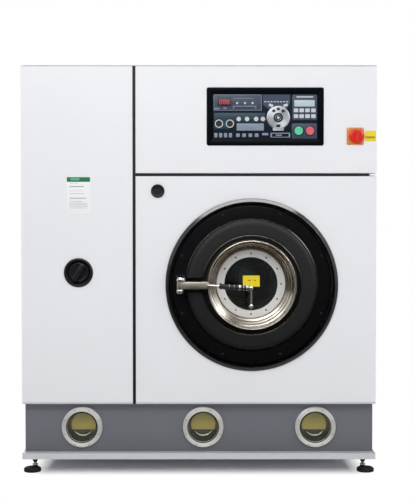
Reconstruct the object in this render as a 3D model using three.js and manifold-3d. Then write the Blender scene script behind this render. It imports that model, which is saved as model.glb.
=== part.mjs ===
// A dry cleaning machine: a sheet steel cabinet on a three-compartment solvent tank, with a cage drum
// behind a dished loading door, a service bay behind a tall door, and a fixed control panel.
// Millimetres, +Z up, the front faces -Y. Depths are counted back from the faces of the front doors.

import * as THREE from 'three';
import { mergeVertices } from 'three/addons/utils/BufferGeometryUtils.js';
import Module from 'manifold-3d';

const wasm = await Module();
wasm.setup();

// Gaps and facets
const touchGap = 0.3;
const runGap = 1.5;
const beyond = 1;
const largeSteps = 32;
const middleSteps = 20;
const innerSteps = 16;
const smallSteps = 12;
const pinSteps = 8;

// Cabinet casing. The front is a tall door on the left and two panels, one above the other, on the right.
const leftDoorWidth = 517;
const rightPanelWidth = 1119;
const frontPanelRise = 1056;
const controlPanelRise = 495;
const cabinetDepth = 1120;
const deckHeight = 325;
const sheet = 3;
const flangeWidth = 32;
const louvreWidth = 190;
const louvreRise = 14;
const louvreReach = 9;
const louvrePitch = 34;
const louvreRows = 6;
const louvreLift = 232;
const louvreOffset = 420;

// Doors and front panels, folded from sheet
const panelThickness = 38;
const panelWall = 2.5;
const panelEdge = 2;
const seamWidth = 14;
const frameGap = 14;
const endGap = 2;
const pivotInset = 18;
const pivotRadius = 6;
const pivotReach = 14;
const pivotTabHeight = 9;
const railHeight = 56;
const railDepth = 40;
const sealWidth = 11;
const sealSetback = 3;
const sealEndGap = 6;

// Drip tray, feet and solvent tank
const trayBottom = 65;
const trayRise = 28;
const trayClearance = 2;
const footInsetX = 52;
const footInsetDepth = 54;
const padRadius = 40.5;
const padHeight = 20;
const padShift = 11;
const socketRadius = 15;
const studRadius = 7.5;
const coneRadius = 19.5;
const coneHeight = 22;
const tankInsetX = 7.5;
const tankInsetDepth = 48;
const tankWall = 4;
const sightLeftX = -550;
const sightMiddleX = 20;
const sightRightX = 548;
const sightLift = 12.5;
const sightBoreRadius = 69;
const sightSeatWidth = 7.2;
const sightFlangeWidth = 19.3;
const sightFlangeThickness = 16;
const sightGlassThickness = 9;
const sightTubeLength = 60;

// Control panel
const displayOffset = 42;
const displayDrop = 233;
const screenWidth = 483;
const screenRise = 207;
const bezelSide = 30;
const bezelEnd = 31;
const bezelProud = 5;
const screenThickness = 4;
const screenSetback = 3;
const displayBoxDepth = 90;
const keyRadius = 20;
const keyProud = 5;
const keyCollar = 2.5;
const keyInset = 34;
const keySpacing = 52.5;
const keyDrop = 66;
const switchInset = 100;
const switchRise = 171;
const switchPlateSize = 79;
const switchPlateThickness = 4;
const switchKnobOffset = 5;
const switchKnobRadius = 31;
const switchKnobThickness = 14;
const switchBarWidth = 15;
const switchBarRise = 14;
const switchShaftRadius = 6;

// Latch of the service door and lock of the front panel
const latchInset = 252;
const latchRise = 610;
const latchRimRadius = 68;
const latchRimWidth = 11;
const latchRimProud = 8;
const latchCupDepth = 24;
const latchHandleGap = 7;
const latchBarWidth = 26;
const latchBarProud = 12;
const latchShaftRadius = 8;
const latchCamLength = 46;
const latchTilt = -60;
const lockInset = 103;
const lockDrop = 69;
const lockRadius = 31.5;
const lockProud = 9;
const lockShaftRadius = 7;
const lockSlotWidth = 5;
const camReach = 7;

// Round port in the front panel, with the fixed rings in it
const portLeftShift = 19.5;
const portLift = 23;
const frontRingRadius = 372;
const frontRingDepth = 12;
const frontRingSheet = 3;
const trimGap = 11;
const trimWidth = 19;
const trimProud = 20;
const neckRadius = 219;
const neckWall = 4;
const neckLip = 3;
const neckProud = 6;
const coverNeckGap = 5;
const coverBracketGap = 2;
const coverProud = 16;
const coverSlotRise = 68;
const portSealWidth = 11;
const sealFrontDepth = 8;
const sealThickness = 16;

// Loading door: dished steel with a round window
const dishNeckGap = 13;
const dishSeatGap = 5;
const dishTaper = 38;
const dishProud = 50;
const dishSheet = 4;
const dishDepth = 150;
const dishSteps = 4;
const beadRadius = 4.5;
const beadSteps = 3;
const windowRingInset = 4;
const windowRingWidth = 38;
const windowRingThickness = 12;
const windowGlassLap = 11.6;
const windowGlassThickness = 8;

// Arm, hinge and grip of the loading door
const bracketInset = 39;
const bracketWidth = 52;
const bracketRise = 92;
const bracketThickness = 5;
const armRimGap = 6;
const armThickness = 12;
const armRise = 33;
const armBarrelRadius = 14;
const armFootWidth = 30;
const earThickness = 16;
const earRadius = 15;
const hingePinRadius = 7;
const hingePinHeadRadius = 11;
const hingePinHeadRise = 5;
const neckRodRadius = 7;
const gripInset = 54;
const gripRadius = 14.5;
const gripLength = 140;
const gripRibs = 9;
const gripRibDepth = 2;
const gripDroop = 3.5;
const leverRodRadius = 3.2;
const leverLength = 83;
const leverBallRadius = 9.5;
const leverHubRadius = 9;
const leverThickness = 7;

// Tub and drum
const tubRadius = 454;
const tubWall = 4;
const tubFrontDepth = 150;
const tubLength = 444;
const drumRunGap = 20;
const drumWall = 3;
const drumFrontGap = 21;
const drumConeRise = 13;
const drumMouthInset = 3;
const drumBackGap = 30;
const hubRadius = 70;
const shaftRadius = 30;
const shaftOverhang = 39;
const lifterCount = 3;
const lifterRise = 72;
const lifterBase = 96;
const lifterTip = 34;
const cradleThickness = 6;
const cradleHalfWidth = 300;
const cradleFrontInset = 80;
const cradleBackInset = 94;
const cradleDrop = 266;

// Drive
const bearingFlangeRadius = 150;
const bearingFlangeThickness = 16;
const bearingBarrelRadius = 74;
const bearingPulleyGap = 12.7;
const bearingRibs = 6;
const bearingRibThickness = 12;
const pulleyWidth = 46;
const pulleyFlangeRise = 9;
const drumPulleyRadius = 230;
const drumPulleyRim = 16;
const pulleyHubRadius = 52;
const pulleySpokes = 5;
const pulleySpokeWidth = 40;
const pulleySpokeThickness = 14;
const motorPulleyRadius = 46;
const motorPulleyGap = 7;
const beltThickness = 7;
const beltClearance = 1;
const motorOffset = 314;
const motorRise = 142;
const motorRadius = 88;
const motorLength = 170;
const motorTubGap = 6;
const motorFins = 9;
const motorFinRise = 10;
const motorFinThickness = 6;
const motorShaftRadius = 12;
const motorFootWidth = 190;

// Drying fan above the tub
const fanOffset = 84;
const fanDrop = 272;
const fanFrontDepth = 300;
const fanHousingDepth = 150;
const fanHousingWall = 4;
const fanRadius = 160;
const fanScrollGrowth = 46;
const fanScrollLap = 0.55;
const fanScrollGap = 18;
const fanInletRadius = 95;
const fanBlades = 9;
const fanBladeThickness = 4;
const fanHubRadius = 30;
const fanShaftRadius = 10;
const ductWidth = 150;

// Still, filter and pump in the service bay
const stillInset = 175;
const stillFilterGap = 9;
const stillRadius = 145;
const stillRise = 620;
const stillSkirtRise = 110;
const stillSheet = 8;
const manholeRadius = 78;
const manholeReach = 190;
const manholeRise = 312;
const filterInset = 114;
const filterDepth = 540;
const filterRadius = 84;
const filterRise = 860;
const filterClampWidth = 12;
const filterClampRise = 22;
const filterInletRise = 530;
const filterInletReach = 14;
const pumpOffset = 145;
const pumpDepth = 260;
const pumpRise = 82;
const pumpRadius = 72;
const pumpThickness = 58;
const pumpMotorRadius = 56;
const pumpMotorLength = 150;
const pumpFootWidth = 120;
const pipeRadius = 16;
const pipeFlangeRadius = 30;
const pipeFlangeThickness = 10;
const pipeBend = 70;
const pipeSteps = 14;

// The casing's edges and seams, worked out from the sizes above
const halfWidth = (leftDoorWidth + seamWidth + rightPanelWidth) / 2;
const deckTop = deckHeight + sheet;
const frontPanelBottom = deckTop + endGap;
const frontPanelTop = frontPanelBottom + frontPanelRise;
const seamHeight = frontPanelTop + seamWidth / 2;
const controlPanelBottom = frontPanelTop + seamWidth;
const controlPanelTop = controlPanelBottom + controlPanelRise;
const topUnderside = controlPanelTop + endGap;
const cabinetTop = topUnderside + sheet;
const seamX = -halfWidth + leftDoorWidth + seamWidth / 2;
const rightPanelLeft = seamX + seamWidth / 2;
const rightPanelMiddle = rightPanelLeft + rightPanelWidth / 2;
const frameDepth = panelThickness + frameGap;
const pivotDepth = panelThickness / 2;
const leftPivotX = -halfWidth + pivotInset;
const rightPivotX = halfWidth - pivotInset;
const rearSheetBack = cabinetDepth - louvreReach;
const rearSheetFront = rearSheetBack - sheet;
const louvreBottom = deckTop + louvreLift;
const sealEndX = halfWidth - flangeWidth - sealEndGap;

// The tank and its sight glasses
const trayTop = trayBottom + trayRise;
const tankLeft = -halfWidth + tankInsetX;
const tankBack = cabinetDepth - tankInsetDepth;
const tankBottom = trayBottom + sheet + touchGap;
const tankTop = deckHeight - touchGap;
const sightHeight = (tankBottom + tankTop) / 2 + sightLift;
const sightGlassRadius = sightBoreRadius + sightSeatWidth;
const sightFlangeRadius = sightGlassRadius + sightFlangeWidth;

// The fittings on the doors and panels
const displayX = rightPanelMiddle + displayOffset;
const displayHeight = controlPanelTop - displayDrop;
const displayWidth = screenWidth + 2 * bezelSide;
const displayRise = screenRise + 2 * bezelEnd;
const stopKeyX = displayX + screenWidth / 2 - keyInset;
const startKeyX = stopKeyX - keySpacing;
const keyHeight = displayHeight - keyDrop;
const switchX = halfWidth - switchInset;
const switchKnobX = switchX + switchKnobOffset;
const switchHeight = controlPanelBottom + switchRise;
const latchX = -halfWidth + leftDoorWidth - latchInset;
const latchHeight = deckTop + latchRise;
const latchHandleRadius = latchRimRadius - latchRimWidth - latchHandleGap;
const lockX = rightPanelLeft + lockInset;
const lockHeight = frontPanelTop - lockDrop;

// The port, its rings and the loading door
const portX = rightPanelMiddle - portLeftShift;
const portHeight = frontPanelBottom + frontPanelRise / 2 + portLift;
const trimInnerRadius = frontRingRadius + trimGap;
const trimOuterRadius = trimInnerRadius + trimWidth;
const hingeReach = frontRingRadius - bracketInset;
const coverInnerRadius = neckRadius + neckWall + neckLip + coverNeckGap;
const coverOuterRadius = hingeReach - bracketWidth / 2 - coverBracketGap;
const sealInnerRadius = neckRadius - portSealWidth;
const dishSeatRadius = neckRadius - dishSeatGap;
const dishRadius = neckRadius - dishNeckGap;
const dishFloorRadius = dishRadius - dishTaper;
const windowRingRadius = dishFloorRadius - windowRingInset;
const windowBoreRadius = windowRingRadius - windowRingWidth;
const windowGlassRadius = windowBoreRadius + windowGlassLap;
const windowDepth = dishDepth - dishProud;
const armProud = dishProud + armRimGap + armThickness / 2;
const hingeX = portX - hingeReach;
const hingeDepth = -armProud;
const gripStart = dishRadius - gripInset;
const frontReach = armProud + Math.max(gripRadius, earRadius, armBarrelRadius);

// The tub, the drum and their drive
const tubBackDepth = tubFrontDepth + tubLength;
const drumRadius = tubRadius - tubWall - drumRunGap;
const drumFrontDepth = tubFrontDepth + tubWall + drumFrontGap;
const drumMouthDepth = drumFrontDepth - drumConeRise;
const drumMouthRadius = neckRadius - drumMouthInset;
const drumBackDepth = tubBackDepth - tubWall - drumBackGap;
const cradleFrontDepth = tubFrontDepth + cradleFrontInset;
const cradleBackDepth = tubBackDepth - cradleBackInset;
const cradleTop = portHeight - cradleDrop;
const motorX = portX + motorOffset;
const motorHeight = deckTop + motorRise;
const motorFrontDepth = tubBackDepth + motorTubGap;
const pulleyDepth = motorFrontDepth + motorLength + motorPulleyGap + pulleyWidth / 2;
const pulleyBottomRadius = drumPulleyRadius - pulleyFlangeRise;
const bearingFront = tubBackDepth + touchGap;
const bearingBack = pulleyDepth - pulleyWidth / 2 - bearingPulleyGap;
const bearingLength = bearingBack - bearingFront;
const shaftEndDepth = pulleyDepth + pulleyWidth / 2 + shaftOverhang;

// The fan, and the pieces in the service bay
const fanX = portX + fanOffset;
const fanHeight = topUnderside - fanDrop;
const filterX = seamX - filterInset;
const stillX = -halfWidth + stillInset;
const stillDepth = filterDepth + filterRadius + filterClampWidth + stillFilterGap + stillRadius;
const manholeHeight = deckTop + manholeRise;
const pumpX = filterX - pumpOffset;
const pumpHeight = deckTop + pumpRise;

// ---- Making and joining solids ----

function twistedVolume(points, a, b, c) {
  const va = new THREE.Vector3().fromArray(points, a * 3);
  const vb = new THREE.Vector3().fromArray(points, b * 3);
  const vc = new THREE.Vector3().fromArray(points, c * 3);
  return va.dot(vb.cross(vc)) / 6;
}

// A closed geometry as a solid: corners merged, faces of no area dropped, all faces turned outwards.
function solid(geometry) {
  const bare = new THREE.BufferGeometry();
  bare.setAttribute('position', geometry.getAttribute('position'));
  bare.setIndex(geometry.getIndex());
  const merged = mergeVertices(bare, 1e-4);
  const points = merged.getAttribute('position').array;
  const corners = merged.getIndex().array;
  const faces = [];
  let volume = 0;
  for (let i = 0; i < corners.length; i += 3) {
    const [a, b, c] = corners.slice(i, i + 3);
    if (a === b || b === c || c === a) continue;
    faces.push([a, b, c]);
    volume += twistedVolume(points, a, b, c);
  }
  const outward = faces.map(([a, b, c]) => (volume < 0 ? [a, c, b] : [a, b, c]));
  const mesh = new wasm.Mesh({
    numProp: 3,
    vertProperties: Float32Array.from(points),
    triVerts: Uint32Array.from(outward.flat()),
  });
  return new wasm.Manifold(mesh);
}

function joined(first, ...rest) {
  return rest.reduce((whole, piece) => whole.add(piece), first);
}

function geometryOf(body) {
  const mesh = body.getMesh();
  const geometry = new THREE.BufferGeometry();
  geometry.setAttribute('position', new THREE.BufferAttribute(mesh.vertProperties, 3));
  geometry.setIndex(new THREE.BufferAttribute(mesh.triVerts, 1));
  const faceted = geometry.toNonIndexed();
  faceted.computeVertexNormals();
  return faceted;
}

// A box between two corners.
function block(x0, x1, y0, y1, z0, z1) {
  const geometry = new THREE.BoxGeometry(x1 - x0, y1 - y0, z1 - z0);
  geometry.translate((x0 + x1) / 2, (y0 + y1) / 2, (z0 + z1) / 2);
  return solid(geometry);
}

function toPoints(pairs) {
  return pairs.map(([a, b]) => new THREE.Vector2(a, b));
}

// A profile of radius and depth, closed on itself or ending on the axis, turned about a front-to-back axis.
function turned(profile, x, z, steps, closed = true) {
  const pairs = closed ? [...profile, profile[0]] : profile;
  const geometry = new THREE.LatheGeometry(toPoints(pairs), steps);
  geometry.translate(x, 0, z);
  return solid(geometry);
}

// The same about an upright axis, with a profile of radius and height.
function upright(profile, x, y, steps, closed = true) {
  const pairs = closed ? [...profile, profile[0]] : profile;
  const geometry = new THREE.LatheGeometry(toPoints(pairs), steps);
  geometry.rotateX(Math.PI / 2);
  geometry.translate(x, y, 0);
  return solid(geometry);
}

// The same about a left-to-right axis, with a profile of radius and x.
function crosswise(profile, y, z, steps, closed = true) {
  const pairs = closed ? [...profile, profile[0]] : profile;
  const geometry = new THREE.LatheGeometry(toPoints(pairs), steps);
  geometry.rotateZ(-Math.PI / 2);
  geometry.translate(0, y, z);
  return solid(geometry);
}

function disc(radius, depth0, depth1, x, z, steps) {
  return turned([[0, depth0], [radius, depth0], [radius, depth1], [0, depth1]], x, z, steps, false);
}

function post(radius, z0, z1, x, y, steps) {
  return upright([[0, z0], [radius, z0], [radius, z1], [0, z1]], x, y, steps, false);
}

// An outline seen from above, raised from z0 to z1.
function raised(outline, z0, z1) {
  const shape = new THREE.Shape(toPoints(outline));
  const geometry = new THREE.ExtrudeGeometry(shape, { depth: z1 - z0, bevelEnabled: false });
  geometry.translate(0, 0, z0);
  return solid(geometry);
}

// A shape seen from the front, running back from depth0 to depth1.
function frontal(shape, depth0, depth1, options = {}) {
  const settings = { depth: depth1 - depth0, bevelEnabled: false, ...options };
  const geometry = new THREE.ExtrudeGeometry(shape, settings);
  geometry.rotateX(Math.PI / 2);
  geometry.translate(0, depth1, 0);
  return solid(geometry);
}

// An outline of depth and height, seen from the side, running from x0 to x1.
function sideways(outline, x0, x1) {
  const shape = new THREE.Shape(toPoints(outline));
  const geometry = new THREE.ExtrudeGeometry(shape, { depth: x1 - x0, bevelEnabled: false });
  geometry.rotateX(Math.PI / 2);
  geometry.rotateZ(Math.PI / 2);
  geometry.translate(x0, 0, 0);
  return solid(geometry);
}

function rectangle(x0, x1, z0, z1) {
  return new THREE.Shape(toPoints([[x0, z0], [x1, z0], [x1, z1], [x0, z1]]));
}

// A shallow pan with its open side at the back and a softened edge round its face.
function foldedPan(x0, x1, z0, z1) {
  const face = frontal(rectangle(x0, x1, z0, z1), panelEdge, panelThickness - panelEdge, {
    bevelEnabled: true,
    bevelThickness: panelEdge,
    bevelSize: panelEdge,
    bevelOffset: -panelEdge,
    bevelSegments: 2,
  });
  const hollow = block(
    x0 + panelWall,
    x1 - panelWall,
    panelWall,
    panelThickness + beyond,
    z0 + panelWall,
    z1 - panelWall,
  );
  return face.subtract(hollow);
}

function material(color, roughness, metalness) {
  return new THREE.MeshStandardMaterial({ color, roughness, metalness });
}

const machine = new THREE.Group();
machine.position.y = (frontReach - cabinetDepth) / 2;

function add(name, body, finish) {
  const mesh = new THREE.Mesh(geometryOf(body), finish);
  mesh.name = name;
  machine.add(mesh);
  return mesh;
}

const white = () => material(0xe9eaee, 0.42, 0.0);
const tankGrey = () => material(0x6f7276, 0.5, 0.1);
const trayGrey = () => material(0xbabcc0, 0.45, 0.2);
const black = () => material(0x121315, 0.35, 0.0);
const rubber = () => material(0x1a1a1b, 0.8, 0.0);
const steel = () => material(0xc9c8c4, 0.28, 1.0);
const chrome = () => material(0xd8d8d8, 0.12, 1.0);
const castGrey = () => material(0x5b6066, 0.6, 0.4);
const glass = () => material(0x20241f, 0.08, 0.0);

// ---- Tray, feet and tank ----

function dripTray() {
  const pan = block(-halfWidth, halfWidth, 0, cabinetDepth, trayBottom, trayTop);
  const inside = block(
    -halfWidth + sheet,
    halfWidth - sheet,
    sheet,
    cabinetDepth - sheet,
    trayBottom + sheet,
    trayTop - sheet,
  );
  const mouth = block(
    tankLeft - trayClearance,
    -tankLeft + trayClearance,
    tankInsetDepth - trayClearance,
    tankBack + trayClearance,
    trayBottom + sheet,
    trayTop + beyond,
  );
  add('drip_tray', pan.subtract(inside).subtract(mouth), trayGrey());
}

// A round pad that stands further out than its threaded stud, which widens to a cone under the tray.
function levellingFoot(name, x, y) {
  const top = trayBottom - touchGap;
  const outX = Math.sign(x) * padShift;
  const outY = Math.sign(y - cabinetDepth / 2) * padShift;
  const padProfile = [
    [0, 0],
    [padRadius - 2, 0],
    [padRadius, 3],
    [padRadius, padHeight - 5],
    [padRadius - 4, padHeight],
    [0, padHeight],
  ];
  const studProfile = [
    [0, padHeight / 2],
    [socketRadius, padHeight / 2],
    [socketRadius * 0.8, padHeight + 7],
    [studRadius, padHeight + 10],
    [studRadius, top - coneHeight],
    [coneRadius, top],
    [0, top],
  ];
  const pad = upright(padProfile, outX, outY, smallSteps, false);
  const stud = upright(studProfile, 0, 0, smallSteps, false);
  const foot = add(name, joined(pad, stud), rubber());
  foot.position.set(x, y, 0);
}

function feet() {
  const outX = halfWidth - footInsetX;
  const back = cabinetDepth - footInsetDepth;
  levellingFoot('foot_front_left', -outX, footInsetDepth);
  levellingFoot('foot_front_right', outX, footInsetDepth);
  levellingFoot('foot_rear_left', -outX, back);
  levellingFoot('foot_rear_right', outX, back);
}

// A welded shell, open at the front, with two dividers half way between the sight glasses.
function solventTank() {
  const dividers = [(sightLeftX + sightMiddleX) / 2, (sightMiddleX + sightRightX) / 2];
  const starts = [tankLeft + tankWall, ...dividers.map((x) => x + tankWall / 2)];
  const ends = [...dividers.map((x) => x - tankWall / 2), -tankLeft - tankWall];
  const front = tankInsetDepth + tankWall + touchGap;
  let tank = block(tankLeft, -tankLeft, front, tankBack, tankBottom, tankTop);
  starts.forEach((start, i) => {
    const room = block(
      start,
      ends[i],
      front - beyond,
      tankBack - tankWall,
      tankBottom + tankWall,
      tankTop - tankWall,
    );
    tank = tank.subtract(room);
  });
  add('solvent_tank', tank, tankGrey());
}

// The plate that closes the front of the shell, with a round hole for each sight glass.
function tankFront() {
  const back = tankInsetDepth + tankWall;
  let plate = block(tankLeft, -tankLeft, tankInsetDepth, back, tankBottom, tankTop);
  for (const x of [sightLeftX, sightMiddleX, sightRightX]) {
    const bore = sightGlassRadius + touchGap;
    plate = plate.subtract(disc(bore, tankInsetDepth - beyond, back + beyond, x, sightHeight, middleSteps));
  }
  add('tank_front', plate, tankGrey());
}

// A turned flange whose tube runs into the tank, with a seat at its front for the glass.
function sightGlass(side, x) {
  const wallFace = tankInsetDepth;
  const front = wallFace - sightFlangeThickness;
  const seat = front + sightGlassThickness + touchGap;
  const seatRadius = sightGlassRadius + touchGap;
  const flange = [
    [seatRadius, front],
    [sightFlangeRadius - 2, front],
    [sightFlangeRadius, front + 2],
    [sightFlangeRadius, wallFace - touchGap],
    [sightGlassRadius, wallFace - touchGap],
    [sightGlassRadius, wallFace + sightTubeLength],
    [sightBoreRadius, wallFace + sightTubeLength],
    [sightBoreRadius, seat],
    [seatRadius, seat],
  ];
  add(`sight_flange_${side}`, turned(flange, x, sightHeight, middleSteps), steel());
  const paneBack = front + sightGlassThickness;
  const pane = disc(sightGlassRadius, front + 1, paneBack, x, sightHeight, middleSteps);
  add(`sight_glass_${side}`, pane, glass());
}

// ---- Casing ----

function sidePanel(name, side) {
  const outer = side * halfWidth;
  const inner = outer - side * sheet;
  const lip = outer - side * flangeWidth;
  const back = rearSheetFront - touchGap;
  const outline = [
    [outer, frameDepth],
    [lip, frameDepth],
    [lip, frameDepth + sheet],
    [inner, frameDepth + sheet],
    [inner, back - sheet],
    [lip, back - sheet],
    [lip, back],
    [outer, back],
  ];
  const panel = raised(outline, deckTop + touchGap, topUnderside - touchGap);
  add(name, side > 0 ? joined(panel, pivotTab()) : panel, white());
}

// The tab that closes the end of the horizontal seam and carries the front panel's upper pivot.
function pivotTab() {
  const left = halfWidth - flangeWidth;
  const z0 = seamHeight - pivotTabHeight / 2;
  const tab = block(left, halfWidth - sheet, sheet, frameDepth + sheet, z0, z0 + pivotTabHeight);
  const pin = post(pivotRadius, frontPanelTop - pivotReach, z0 + sheet, rightPivotX, pivotDepth, pinSteps);
  return joined(tab, pin);
}

function topPanel() {
  const lid = block(-halfWidth, halfWidth, 0, cabinetDepth, topUnderside, cabinetTop);
  const low = topUnderside - endGap - pivotReach;
  const pin = post(pivotRadius, low, topUnderside + beyond, leftPivotX, pivotDepth, pinSteps);
  add('top_panel', joined(lid, pin), white());
}

function deckPanel() {
  const deck = block(-halfWidth, halfWidth, 0, cabinetDepth, deckHeight, deckTop);
  const high = deckTop + endGap + pivotReach;
  const leftPin = post(pivotRadius, deckTop - beyond, high, leftPivotX, pivotDepth, pinSteps);
  const rightPin = post(pivotRadius, deckTop - beyond, high, rightPivotX, pivotDepth, pinSteps);
  add('deck_panel', joined(deck, leftPin, rightPin), white());
}

// One pressed louvre: a wedge that stands out of the sheet, hollow and open below.
function louvre(x, z) {
  const half = louvreWidth / 2;
  const back = rearSheetBack;
  const wedge = [
    [back - beyond, z + louvreRise / 2],
    [back, z + louvreRise / 2],
    [back + louvreReach, z - louvreRise / 2],
    [back - beyond, z - louvreRise / 2],
  ];
  const throat = [
    [rearSheetFront - beyond, z + louvreRise / 2 - sheet],
    [back, z + louvreRise / 2 - sheet],
    [back + louvreReach - sheet, z - louvreRise / 2 + 1],
    [back + louvreReach - sheet, z - louvreRise / 2 - beyond],
    [back + touchGap, z - louvreRise / 2 - beyond],
    [back + touchGap, z - louvreRise / 2 + 1],
    [rearSheetFront - beyond, z - louvreRise / 2 + 1],
  ];
  return {
    hood: sideways(wedge, x - half, x + half),
    cut: sideways(throat, x - half + sheet, x + half - sheet),
  };
}

function rearPanel() {
  let panel = block(
    -halfWidth,
    halfWidth,
    rearSheetFront,
    rearSheetBack,
    deckTop + touchGap,
    topUnderside - touchGap,
  );
  for (const x of [-louvreOffset, louvreOffset]) {
    for (let row = 0; row < louvreRows; row += 1) {
      const { hood, cut } = louvre(x, louvreBottom + row * louvrePitch);
      panel = panel.add(hood).subtract(cut);
    }
  }
  add('rear_panel', panel, white());
}

// The wall between the service bay and the drum bay, with a wide flange behind the vertical seam.
function partitionPanel() {
  const back = rearSheetFront - touchGap;
  const outline = [
    [seamX - flangeWidth, frameDepth],
    [seamX + flangeWidth, frameDepth],
    [seamX + flangeWidth, frameDepth + sheet],
    [seamX + sheet / 2, frameDepth + sheet],
    [seamX + sheet / 2, back],
    [seamX - sheet / 2, back],
    [seamX - sheet / 2, frameDepth + sheet],
    [seamX - flangeWidth, frameDepth + sheet],
  ];
  add('partition_panel', raised(outline, deckTop + touchGap, topUnderside - touchGap), white());
}

function crossRail() {
  const z0 = seamHeight - railHeight / 2;
  const z1 = seamHeight + railHeight / 2;
  const back = frameDepth + railDepth;
  const section = [
    [frameDepth, z0],
    [back, z0],
    [back, z0 + sheet],
    [frameDepth + sheet, z0 + sheet],
    [frameDepth + sheet, z1 - sheet],
    [back, z1 - sheet],
    [back, z1],
    [frameDepth, z1],
  ];
  const left = seamX + flangeWidth + touchGap;
  const right = halfWidth - flangeWidth - touchGap;
  add('cross_rail', sideways(section, left, right), white());
}

function seams() {
  const back = frameDepth - touchGap;
  const vertical = block(
    seamX - sealWidth / 2,
    seamX + sealWidth / 2,
    sealSetback,
    back,
    deckTop + touchGap,
    topUnderside - touchGap,
  );
  add('vertical_seal', vertical, rubber());
  const horizontal = block(
    seamX + sealWidth / 2 + touchGap,
    sealEndX,
    sealSetback,
    back,
    seamHeight - sealWidth / 2,
    seamHeight + sealWidth / 2,
  );
  add('horizontal_seal', horizontal, rubber());
}

// ---- Doors and panels at the front ----

// The corner radius of a faceted bore whose flats clear a round of the given radius.
function boreRound(radius, steps) {
  return (radius + touchGap) / Math.cos(Math.PI / steps);
}

function pivotHole(x, z) {
  return post(boreRound(pivotRadius, pinSteps), z - pivotReach, z + pivotReach, x, pivotDepth, pinSteps);
}

function leftDoor() {
  const bottom = frontPanelBottom;
  const top = controlPanelTop;
  const pan = foldedPan(-halfWidth, seamX - seamWidth / 2, bottom, top);
  const cupBore = latchCupRadius() + touchGap;
  const cupHole = disc(cupBore, -beyond, panelWall + beyond, latchX, latchHeight, middleSteps);
  const door = pan
    .subtract(pivotHole(leftPivotX, bottom))
    .subtract(pivotHole(leftPivotX, top))
    .subtract(cupHole);
  add('left_door', door, white());
}

function latchCupRadius() {
  return latchRimRadius - latchRimWidth + sheet;
}

// A round cup sunk in the door, with a raised rim.
function latchCup() {
  const inner = latchRimRadius - latchRimWidth;
  const outer = latchCupRadius();
  const profile = [
    [inner, 2 - latchRimProud],
    [inner + 3, -latchRimProud],
    [latchRimRadius - 3, -latchRimProud],
    [latchRimRadius, 3 - latchRimProud],
    [latchRimRadius, -touchGap],
    [outer, -touchGap],
    [outer, latchCupDepth + sheet],
    [latchShaftRadius + touchGap, latchCupDepth + sheet],
    [latchShaftRadius + touchGap, latchCupDepth],
    [inner, latchCupDepth],
  ];
  add('latch_cup', turned(profile, latchX, latchHeight, middleSteps), black());
}

// A flat cam on the end of a shaft, behind the panel that it turns in.
function cam(x, z, shaftRadius, start, length) {
  const end = panelThickness + camReach;
  const shaft = disc(shaftRadius, start, end, x, z, smallSteps);
  const finger = block(x - shaftRadius, x + length, end - sheet - 1, end, z - shaftRadius, z + shaftRadius);
  return joined(shaft, finger);
}

function barGrip(length, width, front, back, x, z, tilt) {
  const half = length / 2;
  const shape = new THREE.Shape();
  shape.moveTo(-half + width / 2, -width / 2);
  shape.absarc(half - width / 2, 0, width / 2, -Math.PI / 2, Math.PI / 2, false);
  shape.absarc(-half + width / 2, 0, width / 2, Math.PI / 2, Math.PI * 1.5, false);
  const settings = { depth: back - front - 6, bevelEnabled: true, bevelThickness: 3, bevelSize: 3 };
  const geometry = new THREE.ExtrudeGeometry(shape, {
    ...settings,
    bevelOffset: -3,
    bevelSegments: 1,
    curveSegments: 5,
  });
  geometry.rotateZ(THREE.MathUtils.degToRad(tilt));
  geometry.rotateX(Math.PI / 2);
  geometry.translate(x, back - 3, z);
  return solid(geometry);
}

function latchHandle() {
  const base = latchCupDepth - runGap;
  const profile = [
    [0, base - 10],
    [latchHandleRadius - 5, base - 10],
    [latchHandleRadius, base - 6],
    [latchHandleRadius, base],
    [0, base],
  ];
  const plate = turned(profile, latchX, latchHeight, middleSteps, false);
  const length = latchHandleRadius * 2 - 4;
  const bar = barGrip(length, latchBarWidth, -latchBarProud, base - 5, latchX, latchHeight, latchTilt);
  const turning = cam(latchX, latchHeight, latchShaftRadius, base - 5, latchCamLength);
  add('latch_handle', joined(plate, bar, turning), black());
}

function controlPanel() {
  const pan = foldedPan(rightPanelLeft, halfWidth, controlPanelBottom, controlPanelTop);
  const window = block(
    displayX - screenWidth / 2 - 2 * sheet - touchGap,
    displayX + screenWidth / 2 + 2 * sheet + touchGap,
    -beyond,
    panelWall + beyond,
    displayHeight - screenRise / 2 - 2 * sheet - touchGap,
    displayHeight + screenRise / 2 + 2 * sheet + touchGap,
  );
  const shaftHole = disc(
    boreRound(switchShaftRadius, smallSteps),
    -beyond,
    panelWall + beyond,
    switchKnobX,
    switchHeight,
    smallSteps,
  );
  add('control_panel', pan.subtract(window).subtract(shaftHole), white());
}

function roundedRectangle(width, rise, radius, x, z) {
  const shape = new THREE.Shape();
  const right = x + width / 2 - radius;
  const left = x - width / 2 + radius;
  const high = z + rise / 2 - radius;
  const low = z - rise / 2 + radius;
  const quarter = Math.PI / 2;
  shape.absarc(right, low, radius, -quarter, 0, false);
  shape.absarc(right, high, radius, 0, quarter, false);
  shape.absarc(left, high, radius, quarter, 2 * quarter, false);
  shape.absarc(left, low, radius, 2 * quarter, 3 * quarter, false);
  return shape;
}

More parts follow.
